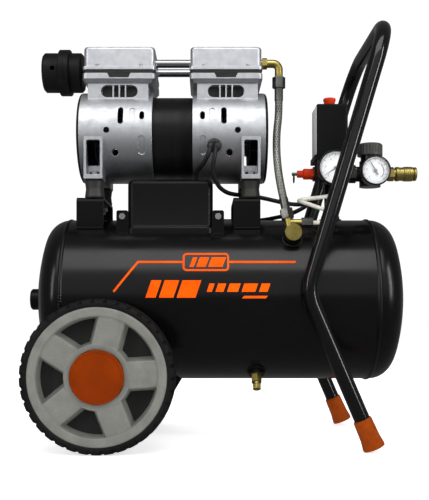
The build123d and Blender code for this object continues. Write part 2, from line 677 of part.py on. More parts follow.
SCREW_DX, SCREW_R, SCREW_HEAD_R, LIP_T = 32.0, 1.5, 2.8, 5.0
SCREW_Y = HEAD_W / 2 - 3.2
HEAD_SCREWS = [
    (MOTOR_X + side * CYLINDER_DX + dx, y)
    for side in (-1, 1)
    for dx in (-SCREW_DX, SCREW_DX)
    for y in (-SCREW_Y, SCREW_Y)
]
PLATE_TOP = DECK_Z + PLATE_T
with BuildPart() as valve_plates:
    for side in (-1, 1):
        x = MOTOR_X + side * CYLINDER_DX
        with BuildSketch(Plane.XY.offset(DECK_Z)) as plate:
            with Locations((x, 0)):
                RectangleRounded(HEAD_L - 2, HEAD_W - 2, 5)
                with GridLocations(0, 26, 1, 2):
                    Circle(4, mode=Mode.SUBTRACT)
        extrude(plate.sketch, amount=PLATE_T)
    for x, y in HEAD_SCREWS:
        rod((x, y, DECK_Z), (x, y, PLATE_TOP), SCREW_R, Mode.SUBTRACT)
save(valve_plates, "valve_plates")

HEAD_INSET, HEAD_INSET_Y, HEAD_WALL = 1.0, 6.4, 5.0   # head body inside its lip
HEAD_TOP = PLATE_TOP + HEAD_H
FILTER_NECK_R = 9.0
with BuildPart() as cylinder_heads:
    for side in (-1, 1):
        x = MOTOR_X + side * CYLINDER_DX
        with BuildSketch(Plane.XY.offset(PLATE_TOP)) as lip:
            with Locations((x, 0)):
                RectangleRounded(HEAD_L, HEAD_W, 6)
        extrude(lip.sketch, amount=LIP_T)
        with BuildPart(mode=Mode.PRIVATE) as dome_box:
            with BuildSketch(Plane.XY.offset(PLATE_TOP)) as body:
                with Locations((x, 0)):
                    RectangleRounded(HEAD_L - 2 * HEAD_INSET, HEAD_W - 2 * HEAD_INSET_Y, 8)
            extrude(body.sketch, amount=HEAD_H)
            fillet(dome_box.faces().sort_by(Axis.Z)[-1].edges(), 4)
        add(dome_box.part)
        inner = PLATE_TOP + HEAD_H - HEAD_WALL
        room = (HEAD_L / 2 - HEAD_INSET - HEAD_WALL - 2, HEAD_W / 2 - HEAD_INSET_Y - HEAD_WALL - 3)
        for y0, y1 in ((-room[1], -2), (2, room[1])):
            block((x - room[0], y0, PLATE_TOP), (x + room[0], y1, inner), Mode.SUBTRACT)
    for x, y in HEAD_SCREWS:
        rod((x, y, PLATE_TOP - 1), (x, y, PLATE_TOP + LIP_T + 1), SCREW_R, Mode.SUBTRACT)
    gap = (MOTOR_X - CYLINDER_DX + HEAD_L / 2 - HEAD_INSET, MOTOR_X + CYLINDER_DX - HEAD_L / 2 + HEAD_INSET)
    for y in (-PIPE_Y, PIPE_Y):
        rod((gap[0] - HEAD_WALL - 2, y, PIPE_Z), (gap[1] + HEAD_WALL + 2, y, PIPE_Z), PIPE_R, Mode.SUBTRACT)
    left_face = MOTOR_X - CYLINDER_DX - HEAD_L / 2 + HEAD_INSET
    right_face = MOTOR_X + CYLINDER_DX + HEAD_L / 2 - HEAD_INSET
    rod((left_face - 1, PIPE_Y, PIPE_Z), (left_face + 8, PIPE_Y, PIPE_Z), FILTER_NECK_R, Mode.SUBTRACT)
    rod((right_face - 8, -PIPE_Y, PIPE_Z), (right_face + 1, -PIPE_Y, PIPE_Z), PIPE_R, Mode.SUBTRACT)
save(cylinder_heads, "cylinder_heads")

with BuildPart() as crossover_pipes:
    for y in (-PIPE_Y, PIPE_Y):
        rod((gap[0] - HEAD_WALL, y, PIPE_Z), (gap[1] + HEAD_WALL, y, PIPE_Z), PIPE_R, bore=PIPE_R - 1.2)
save(crossover_pipes, "crossover_pipes")

# Intake filter: a two-piece black housing on a neck pushed into the left head.
FILTER_NEAR = left_face - FILTER_OUT
FILTER_FAR = FILTER_NEAR - FILTER_L
FILTER_RING_X = left_face - FILTER_RING_OUT
with BuildPart() as filter_housing:
    turn(
        (FILTER_RING_X + FILTER_RING_W / 2, PIPE_Y, PIPE_Z),
        (1, 0, 0),
        [
            (FILTER_NECK_R - 2, left_face + 6 - FILTER_RING_X - FILTER_RING_W / 2),
            (FILTER_NECK_R, left_face + 6 - FILTER_RING_X - FILTER_RING_W / 2),
            (FILTER_NECK_R, FILTER_NEAR - FILTER_RING_X - FILTER_RING_W / 2),
            (FILTER_R - 3, FILTER_NEAR - FILTER_RING_X - FILTER_RING_W / 2),
            (FILTER_R, FILTER_NEAR - FILTER_RING_X - FILTER_RING_W / 2 - 3),
            (FILTER_R, FILTER_RING_W / 2),
            (FILTER_RING_R - 1, FILTER_RING_W / 2),
            (FILTER_RING_R, FILTER_RING_W / 2 - 1),
            (FILTER_RING_R, 0),
            (FILTER_R - 2.5, 0),
            (FILTER_R - 2.5, FILTER_NEAR - FILTER_RING_X - FILTER_RING_W / 2 - 3),
            (FILTER_NECK_R - 2, FILTER_NEAR - FILTER_RING_X - FILTER_RING_W / 2 - 3),
        ],
    )
save(filter_housing, "filter_housing")

with BuildPart() as filter_cap:
    depth = FILTER_RING_X + FILTER_RING_W / 2 - FILTER_FAR
    turn(
        (FILTER_RING_X + FILTER_RING_W / 2, PIPE_Y, PIPE_Z),
        (-1, 0, 0),
        [
            (FILTER_R - 2.5, 0),
            (FILTER_RING_R, 0),
            (FILTER_RING_R, FILTER_RING_W / 2 - 1),
            (FILTER_RING_R - 1, FILTER_RING_W / 2),
            (FILTER_R, FILTER_RING_W / 2),
            (FILTER_R, depth - 3),
            (FILTER_R - 3, depth),
            (0, depth),
            (0, depth - 3),
            (FILTER_R - 2.5, depth - 3),
        ],
    )
    hole_x = FILTER_RING_X - 8
    rod((hole_x, PIPE_Y - FILTER_R - 2, PIPE_Z), (hole_x, PIPE_Y - FILTER_R + 8, PIPE_Z), 3.5,
        Mode.SUBTRACT)
save(filter_cap, "filter_cap")

# ================================================================ delivery line
ELBOW_X = right_face + 26.8
ELBOW_END = PIPE_Z - 20.5
NUT_H, FERRULE_H, NUT_ACROSS = 16.0, 19.0, 17.0
PIPE_WALL = 1.5
with BuildPart() as outlet_elbow:
    with BuildLine(mode=Mode.PRIVATE) as elbow_line:
        FilletPolyline(
            (right_face - 6, -PIPE_Y, PIPE_Z), (ELBOW_X, -PIPE_Y, PIPE_Z), (ELBOW_X, -PIPE_Y, ELBOW_END),
            radius=9,
        )
    tube(Wire(elbow_line.edges()), PIPE_R, bore=PIPE_R - PIPE_WALL)
    with BuildPart(mode=Mode.PRIVATE) as collar:
        collar_x = right_face + HEAD_INSET + 1
        hexagon((collar_x, -PIPE_Y, PIPE_Z), (collar_x + 7, -PIPE_Y, PIPE_Z), 15, bore=PIPE_R - 0.5)
    add(collar.part)
save(outlet_elbow, "outlet_elbow")

# Check valve on the front shoulder: a body along Y, a hose port that leans back and a side port.
CHECK_Y = -TANK_R * math.sin(CHECK_ANGLE)
CHECK_Z = TANK_Z + TANK_R * math.cos(CHECK_ANGLE) + 9
CHECK_R = 10.5
PORT_LEAN = Vector(-6.6, 7.0, 33.4).normalized()
PORT_FOOT = Vector(CHECK_X - 1.5, CHECK_Y, CHECK_Z)
PORT_TOP = PORT_FOOT + PORT_LEAN * 22
HOSE_NUT_TOP = PORT_TOP + PORT_LEAN * 14
HOSE_END = HOSE_NUT_TOP + PORT_LEAN * 17
SIDE_Z = CHECK_Z + 15
with BuildPart() as check_valve:
    rod((CHECK_X, CHECK_Y + 9, CHECK_Z), (CHECK_X, CHECK_Y - 15, CHECK_Z), CHECK_R)
    rod((CHECK_X, CHECK_Y - 15, CHECK_Z), (CHECK_X, CHECK_Y - 20, CHECK_Z), CHECK_R + 1.3)
    rod(CHECK_BOSS_TOP, on_shell(CHECK_X, CHECK_ANGLE, TANK_R + 17), CHECK_R - 1)
    rod(tuple(PORT_FOOT), tuple(PORT_TOP), 6.5)
    rod((CHECK_X - 3, CHECK_Y, SIDE_Z), (CHECK_X + 13, CHECK_Y, SIDE_Z), 5)
    rod(CHECK_FOOT, CHECK_BOSS_TOP, CHECK_BOSS_R, Mode.SUBTRACT)
    rod((TANK_LEFT, 0, TANK_Z), (TANK_RIGHT, 0, TANK_Z), TANK_R, Mode.SUBTRACT)
save(check_valve, "check_valve")

HOSE_TOP = ELBOW_END - NUT_H - FERRULE_H
NYLON_START = CHECK_X + 13 + 16
with BuildPart() as hose_nuts:
    hexagon((ELBOW_X, -PIPE_Y, ELBOW_END), (ELBOW_X, -PIPE_Y, ELBOW_END - NUT_H), NUT_ACROSS, bore=4)
    rod((ELBOW_X, -PIPE_Y, ELBOW_END - NUT_H), (ELBOW_X, -PIPE_Y, HOSE_TOP), 6.4, bore=4)
    hexagon(tuple(PORT_TOP), tuple(HOSE_NUT_TOP), NUT_ACROSS, bore=4)
    rod(tuple(HOSE_NUT_TOP), tuple(HOSE_END), 6.4, bore=4)
    hexagon((CHECK_X + 13, CHECK_Y, SIDE_Z), (NYLON_START, CHECK_Y, SIDE_Z), 12.5, bore=2)
save(hose_nuts, "hose_nuts")

hose_route = [
    (ELBOW_X, -PIPE_Y, HOSE_TOP),
    (ELBOW_X, -PIPE_Y, HOSE_TOP - 22),
    (ELBOW_X - 3.8, -PIPE_Y - 9.5, HOSE_TOP - 47),
    (ELBOW_X - 5.5, (HOSE_END.Y - PIPE_Y) / 2 + 2.1, (HOSE_TOP + HOSE_END.Z) / 2 + 2.8),
    (HOSE_END.X - 7.5, HOSE_END.Y + 14.2, HOSE_END.Z + 52.7),
    tuple(HOSE_END + PORT_LEAN * 24),
    tuple(HOSE_END),
]
with BuildPart() as delivery_hose:
    tube(smooth_path(hose_route, "delivery_hose"), HOSE_R, bore=3.5)
save(delivery_hose, "delivery_hose")

UNLOADER_PORT = (176.0, -25.0, SWITCH_Z)
nylon_route = [
    (NYLON_START, CHECK_Y, SIDE_Z),
    (NYLON_START + 12.4, CHECK_Y, SIDE_Z),
    (NYLON_START + 25.4, CHECK_Y + 0.8, SIDE_Z + 2.2),
    (NYLON_START + 33.4, CHECK_Y + 4.8, SIDE_Z + 9.2),
    (NYLON_START + 30.4, CHECK_Y + 10.8, SIDE_Z + 16.6),
    (NYLON_START + 18.4, CHECK_Y + 14.8, SIDE_Z + 20.6),
    (NYLON_START + 5.9, CHECK_Y + 15.3, SIDE_Z + 24.6),
    (NYLON_START - 5.6, CHECK_Y + 16.8, SIDE_Z + 29.1),
    (NYLON_START - 14.6, CHECK_Y + 22.3, SIDE_Z + 32.6),
    (NYLON_START - 16.8, CHECK_Y + 31.3, SIDE_Z + 35.1),
    (UNLOADER_PORT[0] - 62.5, UNLOADER_PORT[1] - 20.5, TANK_TOP + 26.5),
    (UNLOADER_PORT[0] - 50, UNLOADER_PORT[1] - 17.5, TANK_TOP + 28.5),
    (UNLOADER_PORT[0] - 36, UNLOADER_PORT[1] - 17, TANK_TOP + 30),
    (UNLOADER_PORT[0] - 22, UNLOADER_PORT[1] - 16, TANK_TOP + 32),
    (UNLOADER_PORT[0] - 8, UNLOADER_PORT[1] - 11, TANK_TOP + 37.5),
    (UNLOADER_PORT[0] - 1, UNLOADER_PORT[1] - 3, TANK_TOP + 49.5),
    (UNLOADER_PORT[0], UNLOADER_PORT[1], SWITCH_Z - 21),
    UNLOADER_PORT,
]
with BuildPart() as unloader_tube:
    tube(smooth_path(nylon_route, "unloader_tube"), NYLON_R, bore=2)
save(unloader_tube, "unloader_tube")

# ================================================================ run capacitor
CAPBOX_X0, CAPBOX_X1 = MOTOR_X - 64.0, MOTOR_X + 59.0
CAPBOX_Y0, CAPBOX_Y1 = -72.0, -26.0
CAPBOX_UP, CAPBOX_WALL = BRACKET_H + BUFFER_H - 0.5, 2.0
CAPBOX_TOP = TANK_TOP + CAPBOX_UP
CAPBOX_FOOT = TANK_TOP - 30
TAB_W, TAB_TOP, TAB_T = 15.0, TANK_TOP + 8, 3.0
LEAD_X, LEAD_Y = -42.0, -58.0
with BuildPart() as capacitor_cover:
    with BuildPart(mode=Mode.PRIVATE) as shell_box:
        block((CAPBOX_X0, CAPBOX_Y0, CAPBOX_FOOT), (CAPBOX_X1, CAPBOX_Y1, CAPBOX_TOP))
        fillet(shell_box.faces().sort_by(Axis.Z)[-1].edges(), 9)
    add(shell_box.part)
    for x in (CAPBOX_X0 - TAB_W, CAPBOX_X1):
        block((x, CAPBOX_Y0, CAPBOX_FOOT), (x + TAB_W, CAPBOX_Y0 + TAB_T, TAB_TOP))
    block(
        (CAPBOX_X0 - 2, CAPBOX_Y0 - 2, CAPBOX_FOOT),
        (CAPBOX_X1 + 2, CAPBOX_Y0 + 1, TANK_Z + math.sqrt(TANK_R**2 - CAPBOX_Y0**2) + 7),
    )
    block(
        (CAPBOX_X0 + CAPBOX_WALL, CAPBOX_Y0 + CAPBOX_WALL, CAPBOX_FOOT - 1),
        (CAPBOX_X1 - CAPBOX_WALL, CAPBOX_Y1 - CAPBOX_WALL, CAPBOX_TOP - 9),
        Mode.SUBTRACT,
    )
    block(
        (CAPBOX_X0 + 9, CAPBOX_Y0 + 9, CAPBOX_TOP - 10),
        (CAPBOX_X1 - 9, CAPBOX_Y1 - 9, CAPBOX_TOP - CAPBOX_WALL),
        Mode.SUBTRACT,
    )
    rod((LEAD_X, LEAD_Y, CAPBOX_TOP - 12), (LEAD_X, LEAD_Y, CAPBOX_TOP + 1), CABLE_R + 1, Mode.SUBTRACT)
    for x in (CAPBOX_X0 - TAB_W / 2, CAPBOX_X1 + TAB_W / 2):
        rod((x, CAPBOX_Y0 - 1, TAB_TOP - 9), (x, CAPBOX_Y0 + TAB_T + 1, TAB_TOP - 9), SCREW_R,
            Mode.SUBTRACT)
    rod((TANK_LEFT, 0, TANK_Z), (TANK_RIGHT, 0, TANK_Z), TANK_R, Mode.SUBTRACT)
save(capacitor_cover, "capacitor_cover")

CAN_R, CAN_LEN = 17.0, 92.0
with BuildPart() as capacitor:
    y = (CAPBOX_Y0 + CAPBOX_Y1) / 2
    z = CAPBOX_TOP - 10 - CAN_R
    x = (CAPBOX_X0 + CAPBOX_X1) / 2 - 8
    rod((x - CAN_LEN / 2, y, z), (x + CAN_LEN / 2, y, z), CAN_R)
save(capacitor, "capacitor")

# Zinc-plated fasteners: head screws, capacitor screws, and the buffers' studs with their nuts.
with BuildPart() as fasteners:
    for x, y in HEAD_SCREWS:
        rod((x, y, DECK_Z), (x, y, PLATE_TOP + LIP_T), SCREW_R)
        rod((x, y, PLATE_TOP + LIP_T), (x, y, PLATE_TOP + LIP_T + 3), SCREW_HEAD_R)
    for x in (CAPBOX_X0 - TAB_W / 2, CAPBOX_X1 + TAB_W / 2):
        rod((x, CAPBOX_Y0 + TAB_T, TAB_TOP - 9), (x, CAPBOX_Y0, TAB_TOP - 9), SCREW_R)
        rod((x, CAPBOX_Y0, TAB_TOP - 9), (x, CAPBOX_Y0 - 2.5, TAB_TOP - 9), 4.5)
    for x in MOUNT_XS:
        for y in (-MOUNT_Y, MOUNT_Y):
            rod((x, y, BRACKET_TOP - 14), (x, y, LUG_Z + 14), STUD_R)
            hexagon((x, y, BRACKET_TOP - BRACKET_T - 6), (x, y, BRACKET_TOP - BRACKET_T), 13, bore=STUD_R - 1)
            hexagon((x, y, LUG_Z + LUG_FLOOR), (x, y, LUG_Z + LUG_FLOOR + 6.5), 13, bore=STUD_R - 1)
save(fasteners, "fasteners")

# ================================================================ manifold and switch
SAFETY_X = 136.0
REG_IN = REG_X - REG_R
with BuildPart() as manifold:
    rod((SAFETY_X, 0, LINE_Z), (REG_IN - 6, 0, LINE_Z), MANIFOLD_R)
    hexagon((REG_IN - 16, 0, LINE_Z), (REG_IN - 6, 0, LINE_Z), 24)
    hexagon((RISER_X, 0, riser_end), (RISER_X, 0, LINE_Z), 24)
    rod((RISER_X, 0, LINE_Z), (RISER_X, 0, SWITCH_Z), 8)
    rod((RISER_X, 0, LINE_Z), (RISER_X, -20, LINE_Z), 7)
save(manifold, "manifold")

BASE_X0 = GLAND_X - GLAND_R - 2
with BuildPart() as switch_base:
    block((BASE_X0, SWITCH_Y0 + 1, SWITCH_Z), (SWITCH_X1 - 1, SWITCH_Y1 - 1, SWITCH_Z + SWITCH_BASE_T))
    block(
        (SWITCH_X0 + 8, SWITCH_Y0 + 9, SWITCH_Z + SWITCH_BASE_T),
        (SWITCH_X1 - 8, SWITCH_Y1 - 9, SWITCH_Z + 50),
    )
    for y in GLAND_Y:
        turn(
            (GLAND_X, y, SWITCH_Z),
            (0, 0, -1),
            [
                (0, 0), (GLAND_R, 0), (GLAND_R, 12), (GLAND_R - 0.8, 13), (CABLE_R + 0.6, GLAND_LEN),
                (0, GLAND_LEN),
            ],
        )
save(switch_base, "switch_base")

COVER_Z = SWITCH_Z + SWITCH_BASE_T
KNOB_X, KNOB_Y = (SWITCH_X0 + SWITCH_X1) / 2 - 0.5, (SWITCH_Y0 + SWITCH_Y1) / 2
with BuildPart() as switch_cover:
    with BuildSketch(Plane.XY.offset(COVER_Z)) as outline:
        with Locations(((SWITCH_X0 + SWITCH_X1) / 2, KNOB_Y)):
            RectangleRounded(SWITCH_X1 - SWITCH_X0, SWITCH_Y1 - SWITCH_Y0, 4)
    extrude(outline.sketch, amount=SWITCH_TOP - COVER_Z)
    fillet(switch_cover.faces().sort_by(Axis.Z)[-1].edges(), 3)
    block(
        (SWITCH_X0 + SWITCH_WALL, SWITCH_Y0 + SWITCH_WALL, COVER_Z),
        (SWITCH_X1 - SWITCH_WALL, SWITCH_Y1 - SWITCH_WALL, SWITCH_TOP - SWITCH_WALL - 1),
        Mode.SUBTRACT,
    )
    rod((KNOB_X, KNOB_Y, SWITCH_TOP - 10), (KNOB_X, KNOB_Y, SWITCH_TOP + 1), KNOB_R + 0.1, Mode.SUBTRACT)
save(switch_cover, "switch_cover")

KNOB_BOTTOM = SWITCH_TOP - 10
with BuildPart() as switch_knob:
    turn(
        (KNOB_X, KNOB_Y, KNOB_BOTTOM),
        (0, 0, 1),
        [
            (0, 0), (KNOB_R - 2.5, 0), (KNOB_R - 2.5, KNOB_H - 1), (KNOB_R, KNOB_H + 7),
            (KNOB_R, KNOB_H + 9), (KNOB_R - 1, KNOB_H + 10), (0, KNOB_H + 10),
        ],
    )
save(switch_knob, "switch_knob")

# ================================================================ safety valve
SAFETY_END = 112.0
STEM_R = 2.5
with BuildPart() as safety_valve_body:
    hexagon((SAFETY_X, 0, LINE_Z), (SAFETY_X - 4, 0, LINE_Z), 15, bore=STEM_R + RUN)
    turn(
        (SAFETY_X - 4, 0, LINE_Z),
        (-1, 0, 0),
        [
            (STEM_R + RUN, 0), (7.5, 0), (8.3, 2), (8.3, 10), (5.5, 12), (5.5, SAFETY_X - 4 - SAFETY_END),
            (STEM_R + RUN, SAFETY_X - 4 - SAFETY_END),
        ],
    )
save(safety_valve_body, "safety_valve_body")

RING_R, RING_WIRE = 6.5, 0.9
with BuildPart() as safety_valve_stem:
    rod((SAFETY_X - 6, 0, LINE_Z), (SAFETY_END - 8, 0, LINE_Z), STEM_R)
    ring_x = SAFETY_END - 5
    with Locations(Plane(origin=(ring_x, 0, LINE_Z - RING_R), z_dir=(1, 0, 0))):
        Torus(RING_R, RING_WIRE)
save(safety_valve_stem, "safety_valve_stem")

# ================================================================ gauges
# (centre x, height from the line, bezel face y, bezel radius, dial radius, stem end y)
GAUGES = {
    "tank": (162.3, 0.5, -60.0, 26.5, 23.6, -20.0),
    "outlet": (221.4, -2.5, -55.0, 22.0, 19.8, -REG_R + 3),
}
CASE_DEPTH, DIAL_BACK, LENS_BACK, LENS_T = 24.0, 8.0, 2.0, 1.5
NEEDLE_BACK = 5.5
with BuildPart() as gauge_cases:
    for x, dz, face, bezel, dial, stem in GAUGES.values():
        turn(
            (x, face, LINE_Z + dz),
            (0, 1, 0),
            [
                (0, DIAL_BACK), (dial, DIAL_BACK), (dial, 0), (bezel - 1, 0), (bezel, 1.5), (bezel, 6),
                (bezel - 2, 8), (bezel - 2, CASE_DEPTH - 2), (bezel - 4, CASE_DEPTH), (0, CASE_DEPTH),
            ],
        )
        rod((x, face + CASE_DEPTH, LINE_Z + dz), (x, stem, LINE_Z + dz), 5)
        rod((x, face + DIAL_BACK - 3, LINE_Z + dz), (x, face + DIAL_BACK, LINE_Z + dz), 1.2)
save(gauge_cases, "gauge_cases")

with BuildPart() as gauge_dials:
    for x, dz, face, bezel, dial, stem in GAUGES.values():
        rod((x, face + DIAL_BACK, LINE_Z + dz), (x, face + DIAL_BACK - 1, LINE_Z + dz), dial, bore=1.2)
save(gauge_dials, "gauge_dials")

with BuildPart() as gauge_lenses:
    for x, dz, face, bezel, dial, stem in GAUGES.values():
        start = face + LENS_BACK
        rod((x, start, LINE_Z + dz), (x, start + LENS_T, LINE_Z + dz), dial)
save(gauge_lenses, "gauge_lenses")


def make_needle(gauge, angle):
    """A pointer on its spindle, turned to an angle from +X, with a short tail."""
    x, dz, face, bezel, dial, stem = GAUGES[gauge]
    z = LINE_Z + dz
    y = face + NEEDLE_BACK
    pointing = Plane(origin=(x, y, z), x_dir=(math.cos(angle), 0, math.sin(angle)), z_dir=(0, -1, 0))
    with BuildPart() as piece:
        with BuildSketch(pointing) as blade:
            with BuildLine():
                Polyline((-0.36 * dial, -1.4), (-0.36 * dial, 1.4), (0, 1.1), (0.82 * dial, 0.3),
                         (0.82 * dial, -0.3), (0, -1.1), close=True)
            make_face()
            Circle(2.8)
        extrude(blade.sketch, amount=0.8)
        rod((x, y, z), (x, y + 0.8, z), 2.8)
        rod((x, face + DIAL_BACK - 3.2, z), (x, y + 2, z), 1.2 + RUN, Mode.SUBTRACT)
    return piece


save(make_needle("tank", math.radians(214)), "needle_tank")
save(make_needle("outlet", math.radians(118)), "needle_outlet")

# ================================================================ regulator and coupler
REG_BOTTOM, REG_BODY_TOP, REG_KNOB_Z, REG_KNOB_H = -20.0, 19.0, 27.5, 18.0
SPINDLE_R = 5.0
with BuildPart() as regulator_body:
    rod((REG_X, 0, LINE_Z + REG_BOTTOM), (REG_X, 0, LINE_Z + REG_BODY_TOP), REG_R)
    rod((REG_X, 0, LINE_Z + REG_BODY_TOP), (REG_X, 0, LINE_Z + REG_KNOB_Z - TOUCH), REG_R - 2)
    rod((REG_X, 0, LINE_Z + REG_KNOB_Z - 1), (REG_X, 0, LINE_Z + REG_KNOB_Z + 15), SPINDLE_R)
    hexagon((REG_IN - 6, 0, LINE_Z), (REG_IN + 3, 0, LINE_Z), 20)
    rod((REG_X, 0, LINE_Z), (COUPLER_X, 0, LINE_Z), 9)
save(regulator_body, "regulator_body")

LIFT = 4.0
with BuildPart() as regulator_knob:
    turn(
        (REG_X, 0, LINE_Z + REG_KNOB_Z),
        (0, 0, 1),
        [
            (SPINDLE_R + RUN, 0), (REG_KNOB_R, 0), (REG_KNOB_R, REG_KNOB_H - 2),
            (REG_KNOB_R - 2, REG_KNOB_H), (0, REG_KNOB_H), (0, REG_KNOB_H - 3),
            (SPINDLE_R + RUN, REG_KNOB_H - 3),
        ],
    )
    with BuildSketch(Plane.XY.offset(LINE_Z + REG_KNOB_Z + 3)) as grooves:
        with Locations((REG_X, 0)):
            with PolarLocations(REG_KNOB_R + 0.6, 24):
                Circle(1.4)
    extrude(grooves.sketch, amount=REG_KNOB_H, mode=Mode.SUBTRACT)
save(regulator_knob, "regulator_knob")

SLEEVE_X0, SLEEVE_X1, SLEEVE_R, COUPLER_END = 261.0, 288.0, 11.0, 293.2
COUPLER_CORE_R, COUPLER_BORE, SLIDE_BACK = 8.5, 3.75, 1.5
with BuildPart() as coupler_body:
    hexagon((COUPLER_X, 0, LINE_Z), (COUPLER_X + 9, 0, LINE_Z), 19, bore=COUPLER_BORE)
    turn(
        (COUPLER_X + 9, 0, LINE_Z),
        (1, 0, 0),
        [
            (COUPLER_BORE, 0), (COUPLER_CORE_R, 0),
            (COUPLER_CORE_R, SLEEVE_X1 + 1 - COUPLER_X - 9), (10.5, SLEEVE_X1 + 1.5 - COUPLER_X - 9),
            (10.5, COUPLER_END - COUPLER_X - 10), (9.5, COUPLER_END - COUPLER_X - 9),
            (COUPLER_BORE, COUPLER_END - COUPLER_X - 9),
        ],
    )
save(coupler_body, "coupler_body")

with BuildPart() as coupler_sleeve:
    turn(
        (SLEEVE_X0, 0, LINE_Z),
        (1, 0, 0),
        [
            (COUPLER_CORE_R + RUN, 0), (SLEEVE_R - 1, 0), (SLEEVE_R, 1), (SLEEVE_R, 5),
            (SLEEVE_R - 0.8, 6), (SLEEVE_R - 0.8, 12), (SLEEVE_R, 13),
            (SLEEVE_R, SLEEVE_X1 - SLEEVE_X0 - 1), (SLEEVE_R - 1, SLEEVE_X1 - SLEEVE_X0),
            (COUPLER_CORE_R + RUN, SLEEVE_X1 - SLEEVE_X0),
        ],
    )
save(coupler_sleeve, "coupler_sleeve")

# ================================================================ drain
DRAIN_OUT = Vector(0, -math.sin(DRAIN_ANGLE), -math.cos(DRAIN_ANGLE))
DRAIN_START = Vector(*DRAIN_BOSS_TOP)
DRAIN_MID = DRAIN_START + DRAIN_OUT * 12
DRAIN_TIP = DRAIN_START + DRAIN_OUT * 23
with BuildPart() as drain_body:
    hexagon(tuple(DRAIN_START), tuple(DRAIN_MID), 14, bore=3 + RUN)
save(drain_body, "drain_body")

with BuildPart() as drain_screw:
    rod(tuple(DRAIN_START + DRAIN_OUT), tuple(DRAIN_MID + DRAIN_OUT * TOUCH), 3)
    rod(tuple(DRAIN_MID + DRAIN_OUT * TOUCH), tuple(DRAIN_TIP), 5.8)
    with BuildSketch(Plane(origin=DRAIN_MID + DRAIN_OUT * 4, z_dir=DRAIN_OUT)) as knurl:
        with PolarLocations(5.8 + 0.3, 14):
            Circle(0.8)
    extrude(knurl.sketch, amount=20, mode=Mode.SUBTRACT)
save(drain_screw, "drain_screw")

# ================================================================ leads and mains cord
SPOT = (MOTOR_X + GROMMET_DX, MOTOR_Z + GROMMET_DZ)
SPOT_Y = -math.sqrt(BELL_R**2 - GROMMET_DZ**2)
LEAD_PITCH = 3.7
lead_route = [
    (SPOT[0] + LEAD_PITCH, SPOT_Y - 6, SPOT[1]),
    (SPOT[0] + 3.2, SPOT_Y - 19, SPOT[1] - 3.9),
    (SPOT[0], SPOT_Y - 24, SPOT[1] - 18.9),
    (SPOT[0] - 2.5, SPOT_Y - 21, SPOT[1] - 35.9),
    (SPOT[0], SPOT_Y - 16, SPOT[1] - 49.9),
    (-8, -73, TANK_TOP + BRACKET_H + 12.5),
    (3, -62, TANK_TOP + BRACKET_H + 6.5),
    (14, -46, TANK_TOP + BRACKET_H + 6),
    (27, -30, TANK_TOP + BRACKET_H + 7),
    (44, -22, TANK_TOP + BRACKET_H + 6.5),
    (62, -22, TANK_TOP + BRACKET_H + 3),
    (82, -24, TANK_TOP + 26),
    (GLAND_X - 41, GLAND_Y[1] - 3, TANK_TOP + 22.5),
    (GLAND_X - 23, GLAND_Y[1] + 3, TANK_TOP + 23),
    (GLAND_X - 9, GLAND_Y[1] + 4, TANK_TOP + 30),
    (GLAND_X - 1.5, GLAND_Y[1] + 1.5, TANK_TOP + 42.5),
    (GLAND_X, GLAND_Y[1], SWITCH_Z - GLAND_LEN),
]
capacitor_route = [
    (SPOT[0] - LEAD_PITCH, SPOT_Y - 6, SPOT[1]),
    (SPOT[0] - 5, SPOT_Y - 19, SPOT[1] - 3.9),
    (SPOT[0] - 9, SPOT_Y - 23, SPOT[1] - 17.9),
    (SPOT[0] - 16, SPOT_Y - 17, SPOT[1] - 29.9),
    (LEAD_X + 3, LEAD_Y - 11, CAPBOX_TOP + 13),
    (LEAD_X, LEAD_Y - 0.5, CAPBOX_TOP + 5),
    (LEAD_X, LEAD_Y, CAPBOX_TOP - 10),
]
with BuildPart() as motor_leads:
    with BuildPart(mode=Mode.PRIVATE) as grommet:
        turn((SPOT[0], SPOT_Y + 8, SPOT[1]), (0, -1, 0),
             [(0, 0), (GROMMET_R, 0), (GROMMET_R, 15), (GROMMET_R - 2, 17), (0, 17)])
        rod((MOTOR_X, 0, MOTOR_Z), (MOTOR_X + BELL_LEN, 0, MOTOR_Z), BELL_R, Mode.SUBTRACT)
    add(grommet.part)
    tube(smooth_path(lead_route, "motor lead"), CABLE_R)
    tube(smooth_path(capacitor_route, "capacitor lead"), CABLE_R)
save(motor_leads, "motor_leads")

COIL_X, COIL_Y, COIL_MEAN, COIL_HALF, COIL_H = WHEEL_X + 0.7, 6.0, 35.0, 7.4, 20.0
COIL_JOIN = (COIL_X + 4, COIL_Y + COIL_MEAN + 3.4, 5.0)


def round_tank(x, angle, gap):
    """A place beside the tank: so many degrees round to the rear from the top, and a gap off it."""
    angle = math.radians(angle)
    return (x, (TANK_R + gap) * math.sin(angle), TANK_Z + (TANK_R + gap) * math.cos(angle))


